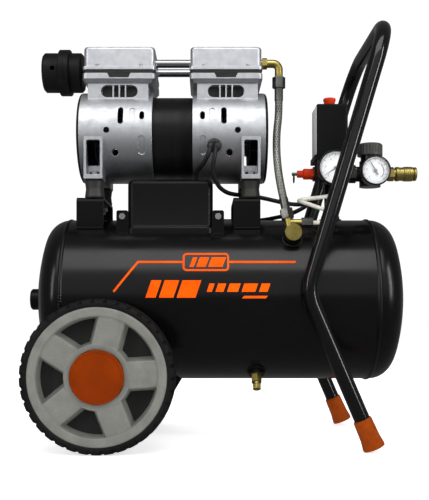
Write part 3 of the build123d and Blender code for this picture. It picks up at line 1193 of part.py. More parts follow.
mains_route = [
    (GLAND_X, GLAND_Y[0], SWITCH_Z - GLAND_LEN),
    (GLAND_X - 1.5, GLAND_Y[0], TANK_TOP + 41.5),
    (GLAND_X - 9, GLAND_Y[0] + 0.5, TANK_TOP + 28.5),
    (GLAND_X - 21, GLAND_Y[0] + 2, TANK_TOP + 18),
    (GLAND_X - 35, GLAND_Y[0] + 9, TANK_TOP + 11),
    (GLAND_X - 47, GLAND_Y[0] + 24, TANK_TOP + 7.5),
    round_tank(83, 5.9, 7.2),
    round_tank(66, 12.3, 6.6),
    round_tank(44, 16.5, 7.1),
    round_tank(16, 16.0, 7.2),
    round_tank(-14, 15.1, 6.7),
    round_tank(-40, 16.5, 6.7),
    round_tank(-60, 22.3, 9.2),
    round_tank(-72, 32.4, 10.8),
    round_tank(BRACKET_X1 + 16.7, 46.4, 9.8),
    round_tank(BRACKET_X1 + 12.7, 61.3, 10.0),
    round_tank(BRACKET_X1 + 9.7, 76.5, 10.6),
    round_tank(BRACKET_X1 + 8.7, 90.7, 9.0),
    round_tank(BRACKET_X1 + 8.7, 104.9, 6.3),
    round_tank(BRACKET_X1 + 8.7, 120.2, 8.4),
    round_tank(BRACKET_X1 + 7.7, 134.4, 20.7),
    round_tank(BRACKET_X1 + 5.7, 145.6, 39.3),
    (COIL_X + 76, COIL_Y + 71, 46),
    (COIL_X + 62, COIL_Y + 57, 21),
    (COIL_X + 38, COIL_Y + 45.5, 8.5),
    COIL_JOIN,
]
with BuildPart() as mains_cord:
    tube(smooth_path(mains_route, "mains_cord"), CABLE_R)
save(mains_cord, "mains_cord")

with BuildPart() as mains_cord_coil:
    turn(
        (COIL_X, COIL_Y, 0),
        (0, 0, 1),
        [
            (COIL_MEAN - COIL_HALF, 0), (COIL_MEAN + COIL_HALF, 0), (COIL_MEAN + COIL_HALF, COIL_H),
            (COIL_MEAN - COIL_HALF, COIL_H),
        ],
    )
save(mains_cord_coil, "mains_cord_coil")

# Plug beside the coil, in line with the cord as it leaves the coil's left side.
PLUG_X, PLUG_Z, PLUG_SIZE, PLUG_LEN = COIL_X - COIL_MEAN - 3, 17.0, 34.0, 32.0
PLUG_Y = COIL_Y - COIL_MEAN - 5
PIN_DX, PIN_LEN, PIN_R = 9.5, 19.0, 2.4
with BuildPart() as mains_plug:
    face = Plane(origin=(PLUG_X, PLUG_Y - PLUG_LEN, PLUG_Z), z_dir=(0, 1, 0))
    with BuildSketch(face) as plug_face:
        RectangleRounded(PLUG_SIZE, PLUG_SIZE, 12)
    extrude(plug_face.sketch, amount=PLUG_LEN, taper=8)
    rod((PLUG_X, PLUG_Y - 4, PLUG_Z), (COIL_X - COIL_MEAN, PLUG_Y + 24, 10), 4.6)
    for dx in (-PIN_DX, PIN_DX):
        pin_x = PLUG_X + dx
        rod((pin_x, PLUG_Y - PLUG_LEN + 1, PLUG_Z), (pin_x, PLUG_Y - PLUG_LEN - PIN_LEN, PLUG_Z), PIN_R)
save(mains_plug, "mains_plug")
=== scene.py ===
import json
import math
import bmesh
import bpy
import numpy as np
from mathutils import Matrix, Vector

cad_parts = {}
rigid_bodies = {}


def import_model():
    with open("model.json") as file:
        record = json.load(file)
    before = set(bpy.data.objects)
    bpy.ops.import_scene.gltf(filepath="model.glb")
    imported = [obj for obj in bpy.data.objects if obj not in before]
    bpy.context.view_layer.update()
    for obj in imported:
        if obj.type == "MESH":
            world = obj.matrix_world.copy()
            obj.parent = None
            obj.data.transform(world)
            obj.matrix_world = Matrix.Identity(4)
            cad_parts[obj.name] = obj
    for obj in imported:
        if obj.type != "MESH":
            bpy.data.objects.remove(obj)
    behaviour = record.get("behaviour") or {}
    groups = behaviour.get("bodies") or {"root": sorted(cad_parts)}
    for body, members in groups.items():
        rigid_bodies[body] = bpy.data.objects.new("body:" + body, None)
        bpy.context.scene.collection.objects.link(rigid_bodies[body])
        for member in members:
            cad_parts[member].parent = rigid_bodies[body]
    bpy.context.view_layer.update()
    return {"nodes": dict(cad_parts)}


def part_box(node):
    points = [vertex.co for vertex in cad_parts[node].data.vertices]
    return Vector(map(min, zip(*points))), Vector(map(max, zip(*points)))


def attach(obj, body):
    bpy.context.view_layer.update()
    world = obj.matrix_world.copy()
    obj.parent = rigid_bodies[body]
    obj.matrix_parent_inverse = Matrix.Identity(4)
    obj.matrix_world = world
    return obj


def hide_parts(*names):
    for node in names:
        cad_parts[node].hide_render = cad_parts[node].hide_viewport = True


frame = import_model()
MM = 0.001

# ---- Camera. A long lens at the height of the tank's axis, square on to the front, with the
# lens shifted up and sideways as on a product table.
eye = bpy.data.objects.new("camera", bpy.data.cameras.new("camera"))
bpy.context.collection.objects.link(eye)
eye.location = (-0.027, -1.245, 0.2055)
eye.rotation_euler = (math.pi / 2, 0, 0)
eye.data.lens = 58.75
eye.data.sensor_width = 36
eye.data.shift_x = 0.017
eye.data.shift_y = 0.104
bpy.context.scene.camera = eye


# ---- Mains cord. A round three-core lead in black PVC, 6.4 mm thick, from the gland under the
# pressure switch over the tank and down its back to a flat wound coil on the floor, with a
# moulded two-pin plug. It is tied to nothing and rests on the tank's shoulder.
def srgb(code):
    """The linear RGBA of an sRGB hex colour: the usual curve, straight below 0.04."""
    shown = np.array([int(code[i:i + 2], 16) for i in (1, 3, 5)]) / 255
    linear = np.where(shown <= 0.04045, shown / 12.92, ((shown + 0.055) / 1.055) ** 2.4)
    return (*linear.tolist(), 1.0)


def put(tree, kind, settings=None, links=None):
    """Add one node, with its settings (attributes first, then sockets) and what feeds it."""
    node = tree.nodes.new(kind)
    for key, value in (settings or {}).items():
        if isinstance(key, str) and hasattr(node, key):
            setattr(node, key, value)
        else:
            node.inputs[key].default_value = value
    for key, source in (links or {}).items():
        tree.links.new(source, node.inputs[key])
    return node


def finish(name, light, dark, grain, rough, bump=0.0, edge=0.0, wear_and_highlight=None, stretch=(1, 1, 1), **shader):
    """A finish in two close tones: noise with a grain in mm mixes light and dark, a second noise
    fourteen times as coarse moves the roughness between its two values as handling does, bump is
    the relief of the grain in mm, edge rounds sharp corners over that many mm, and the last colour
    is painted on those corners: edge wear on most finishes, a painted highlight on the orange cap
    and a painted sheen with thin paint on the sheet enamel."""
    made = bpy.data.materials.new(name)
    made.use_nodes = True
    tree = made.node_tree
    tree.nodes.clear()
    place = put(tree, "ShaderNodeTexCoord")
    spread = put(tree, "ShaderNodeMapping", {"Scale": stretch}, {"Vector": place.outputs["Object"]})
    fine = put(tree, "ShaderNodeTexNoise", {"Scale": 1000 / grain, "Detail": 4.0},
               {"Vector": spread.outputs[0]})
    broad = put(tree, "ShaderNodeTexNoise", {"Scale": 1000 / (14 * grain), "Detail": 3.0},
                {"Vector": spread.outputs[0]})
    both = put(tree, "ShaderNodeMath", {"operation": "MULTIPLY_ADD", 1: 0.5},
               {0: fine.outputs[0], 2: broad.outputs[0]})
    tone = put(tree, "ShaderNodeMapRange", {"From Min": 0.55, "From Max": 0.95}, {"Value": both.outputs[0]})
    colour = put(tree, "ShaderNodeMix", {"data_type": "RGBA", 6: srgb(light), 7: srgb(dark)},
                 {0: tone.outputs[0]})
    gloss = put(tree, "ShaderNodeMapRange",
                {"From Min": 0.35, "From Max": 0.65, "To Min": rough[0], "To Max": rough[1]},
                {"Value": broad.outputs[0]})
    base, normal = colour.outputs[2], None
    if edge:
        soft = put(tree, "ShaderNodeBevel", {"samples": 4, "Radius": edge * MM})
        normal = soft.outputs[0]
        if wear_and_highlight:
            flat = put(tree, "ShaderNodeNewGeometry")
            bend = put(tree, "ShaderNodeVectorMath", {"operation": "DOT_PRODUCT"},
                       {0: normal, 1: flat.outputs["Normal"]})
            # The edge colour mixes in where the rounded normal turns from the face's own: edge wear, and on
            # some finishes a painted highlight.
            edge_wear_and_highlight = put(tree, "ShaderNodeMapRange",
                      {"From Min": 0.97, "From Max": 0.8, "To Min": 0.0, "To Max": 0.7},
                      {"Value": bend.outputs["Value"]})
            base = put(tree, "ShaderNodeMix", {"data_type": "RGBA", 7: srgb(wear_and_highlight)},
                       {0: edge_wear_and_highlight.outputs[0], 6: base}).outputs[2]
    if bump:
        grainy = put(tree, "ShaderNodeBump", {"Distance": bump * MM}, {"Height": fine.outputs[0]})
        if normal:
            tree.links.new(normal, grainy.inputs["Normal"])
        normal = grainy.outputs[0]
    feeds = {"Base Color": base, "Roughness": gloss.outputs[0]}
    if normal:
        feeds["Normal"] = normal
    lit = put(tree, "ShaderNodeBsdfPrincipled",
              {key.replace("_", " "): value for key, value in shader.items()}, feeds)
    put(tree, "ShaderNodeOutputMaterial", links={"Surface": lit.outputs[0]})
    return made


def settle(thing, body):
    """Put a finished object in the scene, on its CAD body."""
    if thing.name not in bpy.context.scene.collection.objects:
        bpy.context.scene.collection.objects.link(thing)
    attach(thing, body)
    return thing


def cord_curve(name, route, radius, skin, body):
    """A cord: one smooth spline of order 3 with the route as its control points, round in section."""
    data = bpy.data.curves.new(name, "CURVE")
    data.dimensions = "3D"
    line = data.splines.new("NURBS")
    line.points.add(len(route) - 1)
    line.points.foreach_set("co", np.c_[np.array(route), np.ones(len(route))].ravel())
    line.order_u = 3
    line.use_endpoint_u = True
    data.resolution_u = 10
    data.bevel_depth = radius
    data.bevel_resolution = 6
    data.use_fill_caps = True
    data.materials.append(skin)
    return settle(bpy.data.objects.new(name, data), body)


# Soft black PVC, extruded: an even satin skin with a faint drag and a little dust.
cord_pvc = finish("cord_pvc", "#0E0E10", "#080809", 2.0, (0.38, 0.5), bump=0.02, IOR=1.4)
CORD_D = 0.0064
route = [
    (0.142, -0.029, 0.386), (0.1405, -0.029, 0.371), (0.133, -0.0285, 0.358), (0.121, -0.027, 0.3475),
    (0.107, -0.020, 0.3405), (0.095, -0.005, 0.337), (0.083, 0.013, 0.336), (0.066, 0.027, 0.3337),
    (0.044, 0.036, 0.3324), (0.016, 0.0355, 0.3324), (-0.014, 0.034, 0.3324), (-0.040, 0.037, 0.3318),
    (-0.060, 0.050, 0.3295), (-0.072, 0.071, 0.3205), (-0.079, 0.095, 0.3), (-0.083, 0.115, 0.273),
    (-0.086, 0.128, 0.240), (-0.087, 0.130, 0.208), (-0.087, 0.123, 0.177), (-0.087, 0.112, 0.145),
    (-0.088, 0.1005, 0.111), (-0.090, 0.090, 0.078), (-0.096, 0.077, 0.045), (-0.110, 0.063, 0.020),
    (-0.134, 0.0515, 0.0065), (-0.158, 0.0455, 0.0034),
]
# The coil: each turn keeps to one place in the winding, given as radius and height, and moves to
# the next over a tenth of a turn, a little earlier each time, so that no turn lies in another.
COIL_AT = (-0.172, 0.006)
places = np.array([(38.4, 3.4), (31.8, 3.4), (31.8, 10.1), (31.8, 16.8), (38.4, 16.8), (38.4, 10.1)]) * MM
moves = np.array([411.0, 731.0, 1051.0, 1371.0, 1691.0])
TURN_POINTS = 16
for angle in np.arange(90.0, 1981.0, 360 / TURN_POINTS):
    share = np.clip((angle - (moves - 36)) / 36, 0, 1)
    share = share * share * (3 - 2 * share)
    out, high = places[0] + share @ np.diff(places, axis=0)
    out /= math.cos(math.pi / TURN_POINTS)
    turn = math.radians(angle)
    route.append((COIL_AT[0] + out * math.cos(turn), COIL_AT[1] + out * math.sin(turn), high))
route += [(-0.2107, -0.001, 0.0101), (-0.2100, -0.006, 0.0101), (-0.2090, -0.011, 0.0103)]
mains = cord_curve("mains_lead", route, CORD_D / 2, cord_pvc, "chassis")
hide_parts("mains_cord", "mains_cord_coil")


def unit(vector):
    """The same direction, one long."""
    return np.asarray(vector, float) / np.linalg.norm(vector)


def eased(points, cut, steps=4):
    """An outline with its corners eased: each inner corner gives way to a parabola that starts and
    ends at the cut distance from it, or less where its edges are short."""
    points = np.asarray(points, float)
    kept = [points[:1]]
    share = np.linspace(0, 1, steps + 1)[:, None]
    for before, corner, after in zip(points, points[1:], points[2:]):
        to_before, to_after = before - corner, after - corner
        first = corner + to_before * min(0.45, cut / np.linalg.norm(to_before))
        last = corner + to_after * min(0.45, cut / np.linalg.norm(to_after))
        kept.append((1 - share) ** 2 * first + 2 * share * (1 - share) * corner + share**2 * last)
    return np.concatenate([*kept, points[-1:]])


def turned(profile, origin, axis, steps=96):
    """A turned shape: each profile point (radius, way) is carried once round the axis, and lies at
    origin + way * axis + radius * (cos a * across + sin a * up)."""
    profile, axis = np.asarray(profile, float), unit(axis)
    across = unit(np.cross(axis, (0, 0, 1) if abs(axis[2]) < 0.9 else (1, 0, 0)))
    angle = np.linspace(0, 2 * math.pi, steps + 1)[:, None]
    ring = np.cos(angle) * across + np.sin(angle) * np.cross(axis, across)
    radius, way = profile[:, 0][:, None, None], profile[:, 1][:, None, None]
    return np.asarray(origin, float) + way * axis + radius * ring


def carried(path, radius, steps=20):
    """A round bar along a path: rings at right angles to the path, whose frame turns only as far
    as the path does, closed at both ends by a ring of no radius."""
    path = np.asarray(path, float)
    radius = np.broadcast_to(radius, len(path)).astype(float)
    way = np.gradient(path, axis=0)
    way /= np.linalg.norm(way, axis=1)[:, None]
    side = np.zeros_like(path)
    side[0] = unit(np.cross(way[0], (0, 0, 1) if abs(way[0][2]) < 0.9 else (1, 0, 0)))
    for i in range(1, len(path)):
        side[i] = unit(side[i - 1] - way[i] * (side[i - 1] @ way[i]))
    top = np.cross(way, side)
    angle = np.linspace(0, 2 * math.pi, steps + 1)[None, :, None]
    ring = np.cos(angle) * side[:, None] + np.sin(angle) * top[:, None]
    body = path[:, None] + radius[:, None, None] * ring
    ends = [np.broadcast_to(path[k], body[0].shape)[None] for k in (0, -1)]
    return np.concatenate([ends[0], body, ends[1]])


def piece(name, grids, body, skin, sharp=35, chart=None):
    """One piece from grids of points in mm: neighbouring rows and columns make faces, points that
    fall together at a seam or pole become one, and the faces are turned outwards."""
    points, quads, first = [], [], 0
    for grid in grids:
        rows, cols = grid.shape[:2]
        spot = first + np.arange(rows * cols).reshape(rows, cols)
        corners = [spot[:-1, :-1], spot[:-1, 1:], spot[1:, 1:], spot[1:, :-1]]
        quads.append(np.stack(corners, -1).reshape(-1, 4))
        points.append(grid.reshape(-1, 3))
        first += rows * cols
    quads = np.concatenate(quads)
    mesh = bpy.data.meshes.new(name)
    mesh.from_pydata((np.concatenate(points) * MM).tolist(), [], quads.tolist())
    if chart is not None:
        mesh.uv_layers.new(name="UVMap").data.foreach_set("uv", chart.reshape(-1, 2)[quads].ravel())
    shape = bmesh.new()
    shape.from_mesh(mesh)
    bmesh.ops.remove_doubles(shape, verts=shape.verts, dist=2e-6)
    bmesh.ops.dissolve_degenerate(shape, edges=shape.edges, dist=1e-6)
    bmesh.ops.recalc_face_normals(shape, faces=shape.faces)
    shape.to_mesh(mesh)
    shape.free()
    mesh.shade_smooth()
    mesh.set_sharp_from_angle(angle=math.radians(sharp))
    mesh.materials.append(skin)
    return settle(bpy.data.objects.new(name, mesh), body)


def prism(outline, base, across, up, levels):
    """A solid from a closed flat outline: each level (height, inset) gives one loop, moved along
    the outline's normal and drawn in towards its middle, and both ends close on the middle."""
    outline = np.asarray(outline, float)
    outline = np.concatenate([outline, outline[:1]])
    middle = outline[:-1].mean(0)
    across, up, normal = unit(across), unit(up), unit(np.cross(across, up))
    reach = np.linalg.norm(outline - middle, axis=1)[:, None]
    loops = [middle + (outline - middle) * (1 - inset / reach) for _, inset in levels]
    loops = [np.broadcast_to(middle, outline.shape), *loops, np.broadcast_to(middle, outline.shape)]
    heights = [levels[0][0], *[height for height, _ in levels], levels[-1][0]]
    return np.stack([
        np.asarray(base, float) + loop[:, :1] * across + loop[:, 1:] * up + height * normal
        for loop, height in zip(loops, heights)
    ])


def rounded(width, height, corner, steps=6):
    """The outline of a rectangle with quarter-circle corners, about its middle."""
    turn = np.linspace(0, math.pi / 2, steps)
    arcs = [
        np.c_[sx * (width / 2 - corner), sy * (height / 2 - corner)]
        + corner * np.c_[np.cos(turn + start), np.sin(turn + start)]
        for sx, sy, start in ((1, 1, 0), (-1, 1, math.pi / 2), (-1, -1, math.pi), (1, -1, 1.5 * math.pi))
    ]
    return np.concatenate(arcs)


# Plug: a moulded two-pin body with a grip waist and a ribbed boot, lying by the coil.
plug_pvc = finish("plug_pvc", "#19191C", "#0F0F11", 1.2, (0.4, 0.55), bump=0.04, edge=0.6, IOR=1.5)
PLUG = np.array([-210.0, -34.0, 17.0])
waist = np.array([
    (0, 2.0), (0.8, 0.6), (4, 0.0), (10, 1.6), (17, 2.4), (24, 1.0), (29, 0.0), (31.4, 0.5), (32, 1.6),
])
boot_way = np.linspace(0, 1, 25)
BOOT = np.array([-209.0, -10.0, 10.2])
boot_path = BOOT + boot_way[:, None] * (PLUG + (0, 1, 0) - BOOT)
boot_r = 4.0 + 3.5 * boot_way + 0.5 * np.sign(np.sin(boot_way * 2 * math.pi * 6))
plug = piece("plug_body", [
    prism(rounded(33, 33, 9), PLUG, (1, 0, 0), (0, 0, 1), waist),
    carried(boot_path, boot_r),
], "chassis", plug_pvc)
pin_brass = finish("nickel_pin", "#B9B6AE", "#A09D95", 1.0, (0.25, 0.35), bump=0.01, Metallic=1.0)
pins = piece("plug_pins", [
    turned(eased([(0, 0), (2.4, 0), (2.4, 18), (1.4, 19), (0, 19)], 0.6),
           PLUG + (dx, -31.5, 0), (0, -1, 0), 20)
    for dx in (-9.5, 9.5)
], "chassis", pin_brass)
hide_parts("mains_plug")

# Strain reliefs: a tapered ribbed sleeve on each lead where it leaves the switch base, moulded in
# the same soft PVC as the lead, 30 mm long.
GLANDS = ((142.0, -29.0, 416.0), (142.0, -17.0, 416.0))
taper = np.linspace(0, 1, 61)
sleeve_r = np.where(taper < 0.42, 5.6, 5.6 - 1.6 * (taper - 0.42) / 0.58)
sleeve_r = sleeve_r - 0.45 * (np.sin(taper * 2 * math.pi * 9) > 0.3) * (taper > 0.42)
piece("strain_reliefs", [
    turned(np.c_[np.r_[3.3, sleeve_r, 3.3], np.r_[0.2, 0.2 + taper * 30.0, 30.2]], spot, (0, 0, -1), 32)
    for spot in GLANDS
], "chassis", cord_pvc)

# ---- Motor leads. Two black PVC leads leave the grommet in the right crankcase: one goes under the
# motor to the switch, one into the capacitor box. The grommet is a moulded rubber ring.
lead_route = [
    (-0.0113, -0.070, 0.4319), (-0.0118, -0.083, 0.428), (-0.015, -0.088, 0.413), (-0.0175, -0.085, 0.396),
    (-0.015, -0.080, 0.382), (-0.008, -0.073, 0.370), (0.003, -0.062, 0.364), (0.014, -0.046, 0.3635),
    (0.027, -0.030, 0.3645), (0.044, -0.022, 0.364), (0.062, -0.022, 0.3605), (0.082, -0.024, 0.3555),
    (0.101, -0.020, 0.352), (0.119, -0.014, 0.3525), (0.133, -0.013, 0.3595), (0.1405, -0.0155, 0.372),
    (0.142, -0.017, 0.386),
]
motor_lead = cord_curve("motor_lead", lead_route, CORD_D / 2, cord_pvc, "chassis")
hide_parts("motor_leads")
capacitor_route = [
    (-0.0187, -0.070, 0.4319), (-0.020, -0.083, 0.428), (-0.024, -0.087, 0.414), (-0.031, -0.081, 0.402),
    (-0.039, -0.069, 0.396), (-0.042, -0.0585, 0.388), (-0.042, -0.058, 0.373),
]
capacitor_lead = cord_curve("capacitor_lead", capacitor_route, CORD_D / 2, cord_pvc, "chassis")
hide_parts("motor_leads")
ring = eased([(3.0, 6.5), (6.5, 7.0), (8.5, 6.0), (10.5, 3.0), (10.5, 0.6), (9.0, -3.0), (8.3, -3.2),
              (0, -3.2)], 1.0)
piece("lead_grommet", [turned(np.r_[[(0, 6.0)], ring], (-15.0, -64.0, 431.9), (0, -1, 0), 64)],
      "chassis", plug_pvc)

# ---- Delivery hose.
hose_route = [
    (0.0818, -0.025, 0.506), (0.0818, -0.025, 0.484), (0.078, -0.0345, 0.459), (0.0763, -0.0475, 0.433),
    (0.0765, -0.060, 0.407), (0.07943, -0.06937, 0.37735), (0.08399, -0.0742, 0.35429),
]
HOSE_R = 5.75
STRANDS, PITCH = 14, 9.0     # carriers of the braid each way round, and the mm that one crossing takes


def braid_of(name):
    """A braid of flat wire bundles: two sets of slanting waves in the piece's own UV, u once round
    and v in mm along, where the higher of the two shows and the hollows between them are dark."""
    made = bpy.data.materials.new(name)
    made.use_nodes = True
    tree = made.node_tree
    tree.nodes.clear()
    uv = put(tree, "ShaderNodeUVMap", {"uv_map": "UVMap"})
    split = put(tree, "ShaderNodeSeparateXYZ", links={0: uv.outputs[0]})
    around = put(tree, "ShaderNodeMath", {"operation": "MULTIPLY", 1: STRANDS * 2 * math.pi},
                 {0: split.outputs[0]})
    along = put(tree, "ShaderNodeMath", {"operation": "MULTIPLY", 1: 2 * math.pi / PITCH},
                {0: split.outputs[1]})
    waves = []
    for way in ("ADD", "SUBTRACT"):
        mixed = put(tree, "ShaderNodeMath", {"operation": way}, {0: around.outputs[0], 1: along.outputs[0]})
        waves.append(put(tree, "ShaderNodeMath", {"operation": "SINE"}, {0: mixed.outputs[0]}))
    high = put(tree, "ShaderNodeMath", {"operation": "MAXIMUM"},
               {0: waves[0].outputs[0], 1: waves[1].outputs[0]})
    share = put(tree, "ShaderNodeMapRange", {"From Min": -0.4, "From Max": 0.7}, {"Value": high.outputs[0]})
    colour = put(tree, "ShaderNodeMix", {"data_type": "RGBA", 6: srgb("#2A2925"), 7: srgb("#9B9A94")},
                 {0: share.outputs[0]})
    relief = put(tree, "ShaderNodeBump", {"Distance": 0.35 * MM}, {"Height": share.outputs[0]})
    lit = put(tree, "ShaderNodeBsdfPrincipled", {"Metallic": 0.9, "Roughness": 0.36},
              {"Base Color": colour.outputs[2], "Normal": relief.outputs[0]})
    put(tree, "ShaderNodeOutputMaterial", links={"Surface": lit.outputs[0]})
    return made


def hose_path(name, points, steps):
    """The points of a smooth spline of order 3 through its control points, as the scene draws it."""
    data = bpy.data.curves.new(name, "CURVE")
    data.dimensions = "3D"
    line = data.splines.new("NURBS")
    line.points.add(len(points) - 1)
    line.points.foreach_set("co", np.c_[np.array(points), np.ones(len(points))].ravel())
    line.order_u = 3
    line.use_endpoint_u = True
    data.resolution_u = steps
    holder = bpy.data.objects.new(name, data)
    drawn = bpy.data.meshes.new_from_object(holder)
    spots = np.empty(len(drawn.vertices) * 3)
    drawn.vertices.foreach_get("co", spots)
    for leftover, kept in ((holder, bpy.data.objects), (data, bpy.data.curves), (drawn, bpy.data.meshes)):
        kept.remove(leftover)
    return spots.reshape(-1, 3)


hose_braid = braid_of("stainless_braid")
hose_line = hose_path("hose_line", hose_route, 24) / MM
hose_grid = carried(hose_line, HOSE_R, 40)
gone = np.r_[0, np.cumsum(np.linalg.norm(np.diff(hose_line, axis=0), axis=1))]
gone = np.r_[gone[0], gone, gone[-1]]
hose_chart = np.stack(np.meshgrid(gone, np.linspace(0, 1, 41), indexing="ij")[::-1], -1)
hose = piece("braided_hose", [hose_grid], "chassis", hose_braid, chart=hose_chart)
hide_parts("delivery_hose")

# ---- Unloader tube. Natural nylon, 6 mm thick, from the check valve's side nut in one loose loop up
# to the valve under the pressure switch.
unloader_route = [
    (0.1246, -0.08485, 0.31835), (0.137, -0.08485, 0.31835), (0.150, -0.08405, 0.32055),
    (0.158, -0.08005, 0.32755), (0.155, -0.07405, 0.33495), (0.143, -0.07005, 0.33895),
    (0.1305, -0.06955, 0.34295), (0.119, -0.06805, 0.34745), (0.110, -0.06255, 0.35095),
    (0.1078, -0.05355, 0.35345), (0.1135, -0.0455, 0.356), (0.126, -0.0425, 0.358),
    (0.140, -0.042, 0.3595), (0.154, -0.041, 0.3615), (0.168, -0.036, 0.367), (0.175, -0.028, 0.379),
    (0.176, -0.025, 0.395), (0.176, -0.025, 0.416),
]
# Natural nylon tube, extruded: milky and slightly clear, so that light bleeds through its edges.
milky_nylon = finish("milky_nylon", "#D9D7CE", "#BDBAB0", 3.0, (0.3, 0.42), bump=0.01, IOR=1.53,
                     Subsurface_Weight=0.25, Subsurface_Scale=0.003)
unloader = cord_curve("nylon_tube", unloader_route, 0.003, milky_nylon, "chassis")
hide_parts("unloader_tube")

# ---- Tank. A rolled steel shell between two pressed domes, sprayed in gloss black enamel, with a
# raised weld bead round each seam and a weld fillet round each boss.
# Gloss enamel over steel: deep black with a slight orange-peel that breaks long reflections.
tank_enamel = finish("gloss_black_enamel", "#080809", "#040405", 9.0, (0.16, 0.26), bump=0.03, IOR=1.35)
AXIS_Z, TANK_R = 209.5, 120.0
CROWN_R, KNUCKLE_R, SKIRT_LEFT, SKIRT_RIGHT = 300.0, 32.0, -230.1, 218.6
rise = math.sqrt((CROWN_R - KNUCKLE_R) ** 2 - (TANK_R - KNUCKLE_R) ** 2)
bend = math.atan2(TANK_R - KNUCKLE_R, rise)
crown, knuckle = np.linspace(0, bend, 24), np.linspace(bend, math.pi / 2, 16)[1:]
dome_r = np.r_[CROWN_R * np.sin(crown), TANK_R - KNUCKLE_R + KNUCKLE_R * np.sin(knuckle)]
dome_x = np.r_[CROWN_R * np.cos(crown) - rise, KNUCKLE_R * np.cos(knuckle)]
barrel_x = np.linspace(SKIRT_LEFT, SKIRT_RIGHT, 60)[1:-1]
outline = np.r_[
    np.c_[dome_r, SKIRT_LEFT - dome_x],
    np.c_[np.full(len(barrel_x), TANK_R), barrel_x],
    np.c_[dome_r, SKIRT_RIGHT + dome_x][::-1],
]
tank = piece("tank_body", [turned(outline, (0, 0, AXIS_Z), (1, 0, 0), 240)], "chassis",
             tank_enamel, sharp=60)
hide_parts("tank_shell", "tank_domes")


def bead(x, half_width, height, steps=752, ripples=188):
    """A weld ring round the tank: a low arch, height * cos, over its width, whose top swells and
    sinks by a seventh once for each ripple round the tank."""
    across = np.linspace(-1, 1, 9)
    angle = np.linspace(0, 2 * math.pi, steps + 1)
    swell = 1 + 0.14 * np.cos(ripples * angle)
    reach = TANK_R - 0.6 + (height + 0.6) * np.cos(across * math.pi / 2)[:, None] * swell
    reach = np.r_[reach, np.full((1, steps + 1), TANK_R - 0.6)]
    place = np.r_[x + across * half_width, x - half_width][:, None] + 0 * angle
    return np.stack([place, -reach * np.sin(angle), AXIS_Z + reach * np.cos(angle)], -1)


piece("seam_welds", [bead(-229.7, 3.6, 1.3), bead(214.0, 4.0, 1.6)], "chassis",
      tank_enamel, sharp=60)


def ring_weld(x, lean, radius, thick=2.0):
    """A weld fillet round a boss: a circle of that radius laid on the tank, x + radius cos t along it
    and radius sin t round it from the boss's lean, thick and rippled."""
    turn = np.linspace(0, 2 * math.pi, 121)
    angle = lean + radius * np.sin(turn) / TANK_R
    path = np.c_[x + radius * np.cos(turn), -TANK_R * np.sin(angle), AXIS_Z + TANK_R * np.cos(angle)]
    return carried(path, thick * (1 + 0.12 * np.cos(30 * turn)), 10)


piece("boss_welds", [
    ring_weld(162.4, 0.0, 15.0), ring_weld(95.6, math.radians(45), 13.5),
    ring_weld(46.0, math.radians(150), 12.5),
], "chassis", tank_enamel, sharp=60)

# ---- Trim lines on the tank. Orange ink screen-printed on the enamel: a line that climbs and runs to
# the right through a rounded panel, and slanted speed bars under it.
# Screen ink: flat, slightly chalky orange, thin enough to follow the enamel's gloss.
trim_ink = finish("orange_screen_ink", "#FF5A04", "#F04E00", 1.5, (0.45, 0.55), bump=0.01, IOR=1.12)
INK = 0.35


def print_on(outline_xz, steps=14):
    """Ink on the tank: a four-cornered patch in (x, z), a grid between its corners, set out to the
    tank's radius, y = -sqrt(R^2 - z^2), and closed as a thin shell by an outer and an inner layer."""
    corners = np.asarray(outline_xz, float).reshape(2, 2, 2)
    u, v = np.meshgrid(np.linspace(0, 1, steps), np.linspace(0, 1, 5), indexing="ij")
    flat = ((1 - u) * (1 - v))[..., None] * corners[0, 0] + (u * (1 - v))[..., None] * corners[1, 0] \
        + ((1 - u) * v)[..., None] * corners[0, 1] + (u * v)[..., None] * corners[1, 1]
    layers = []
    for reach in (TANK_R + INK, TANK_R - 0.4):
        height = flat[..., 1] - AXIS_Z
        scale = reach / TANK_R
        depth = -np.sqrt(TANK_R**2 - height**2) * scale
        layers.append(np.stack([flat[..., 0], depth, AXIS_Z + height * scale], -1))
    top, under = layers
    rim = [np.stack([top[:, k], under[:, k]]) for k in (0, -1)]
    rim += [np.stack([top[k], under[k]]) for k in (0, -1)]
    return [top, under, *rim]


def bar(x0, x1, z0, z1, slant):
    """A slanted bar from x0 to x1 at its foot and z0 to z1, its top moved right by the slant."""
    return print_on([(x0, z0), (x0 + slant, z1), (x1, z0), (x1 + slant, z1)])


def stroke(start, end, width):
    """A straight line of ink of that width between two places."""
    start, end = np.array(start, float), np.array(end, float)
    side = unit((end - start)[::-1] * (-1, 1)) * width / 2
    return print_on([start - side, start + side, end - side, end + side], 40)


def panel_ring(middle, size, corner, width):
    """A rounded frame of ink: the outline at full size and drawn in by its width."""
    turn = rounded(size[0], size[1], corner, 8)
    turn = np.concatenate([turn, turn[:1]])
    inner = rounded(size[0] - 2 * width, size[1] - 2 * width, max(corner - width, 0.6), 8)
    inner = np.concatenate([inner, inner[:1]])
    loops = []
    under, over = TANK_R - 0.4, TANK_R + INK
    for loop, reach in ((turn, under), (turn, over), (inner, over), (inner, under)):
        height = loop[:, 1] + middle[1] - AXIS_Z
        scale = reach / TANK_R
        depth = -np.sqrt(TANK_R**2 - height**2) * scale
        loops.append(np.c_[loop[:, 0] + middle[0], depth, AXIS_Z + height * scale])
    return [np.stack([*loops, loops[0]])]


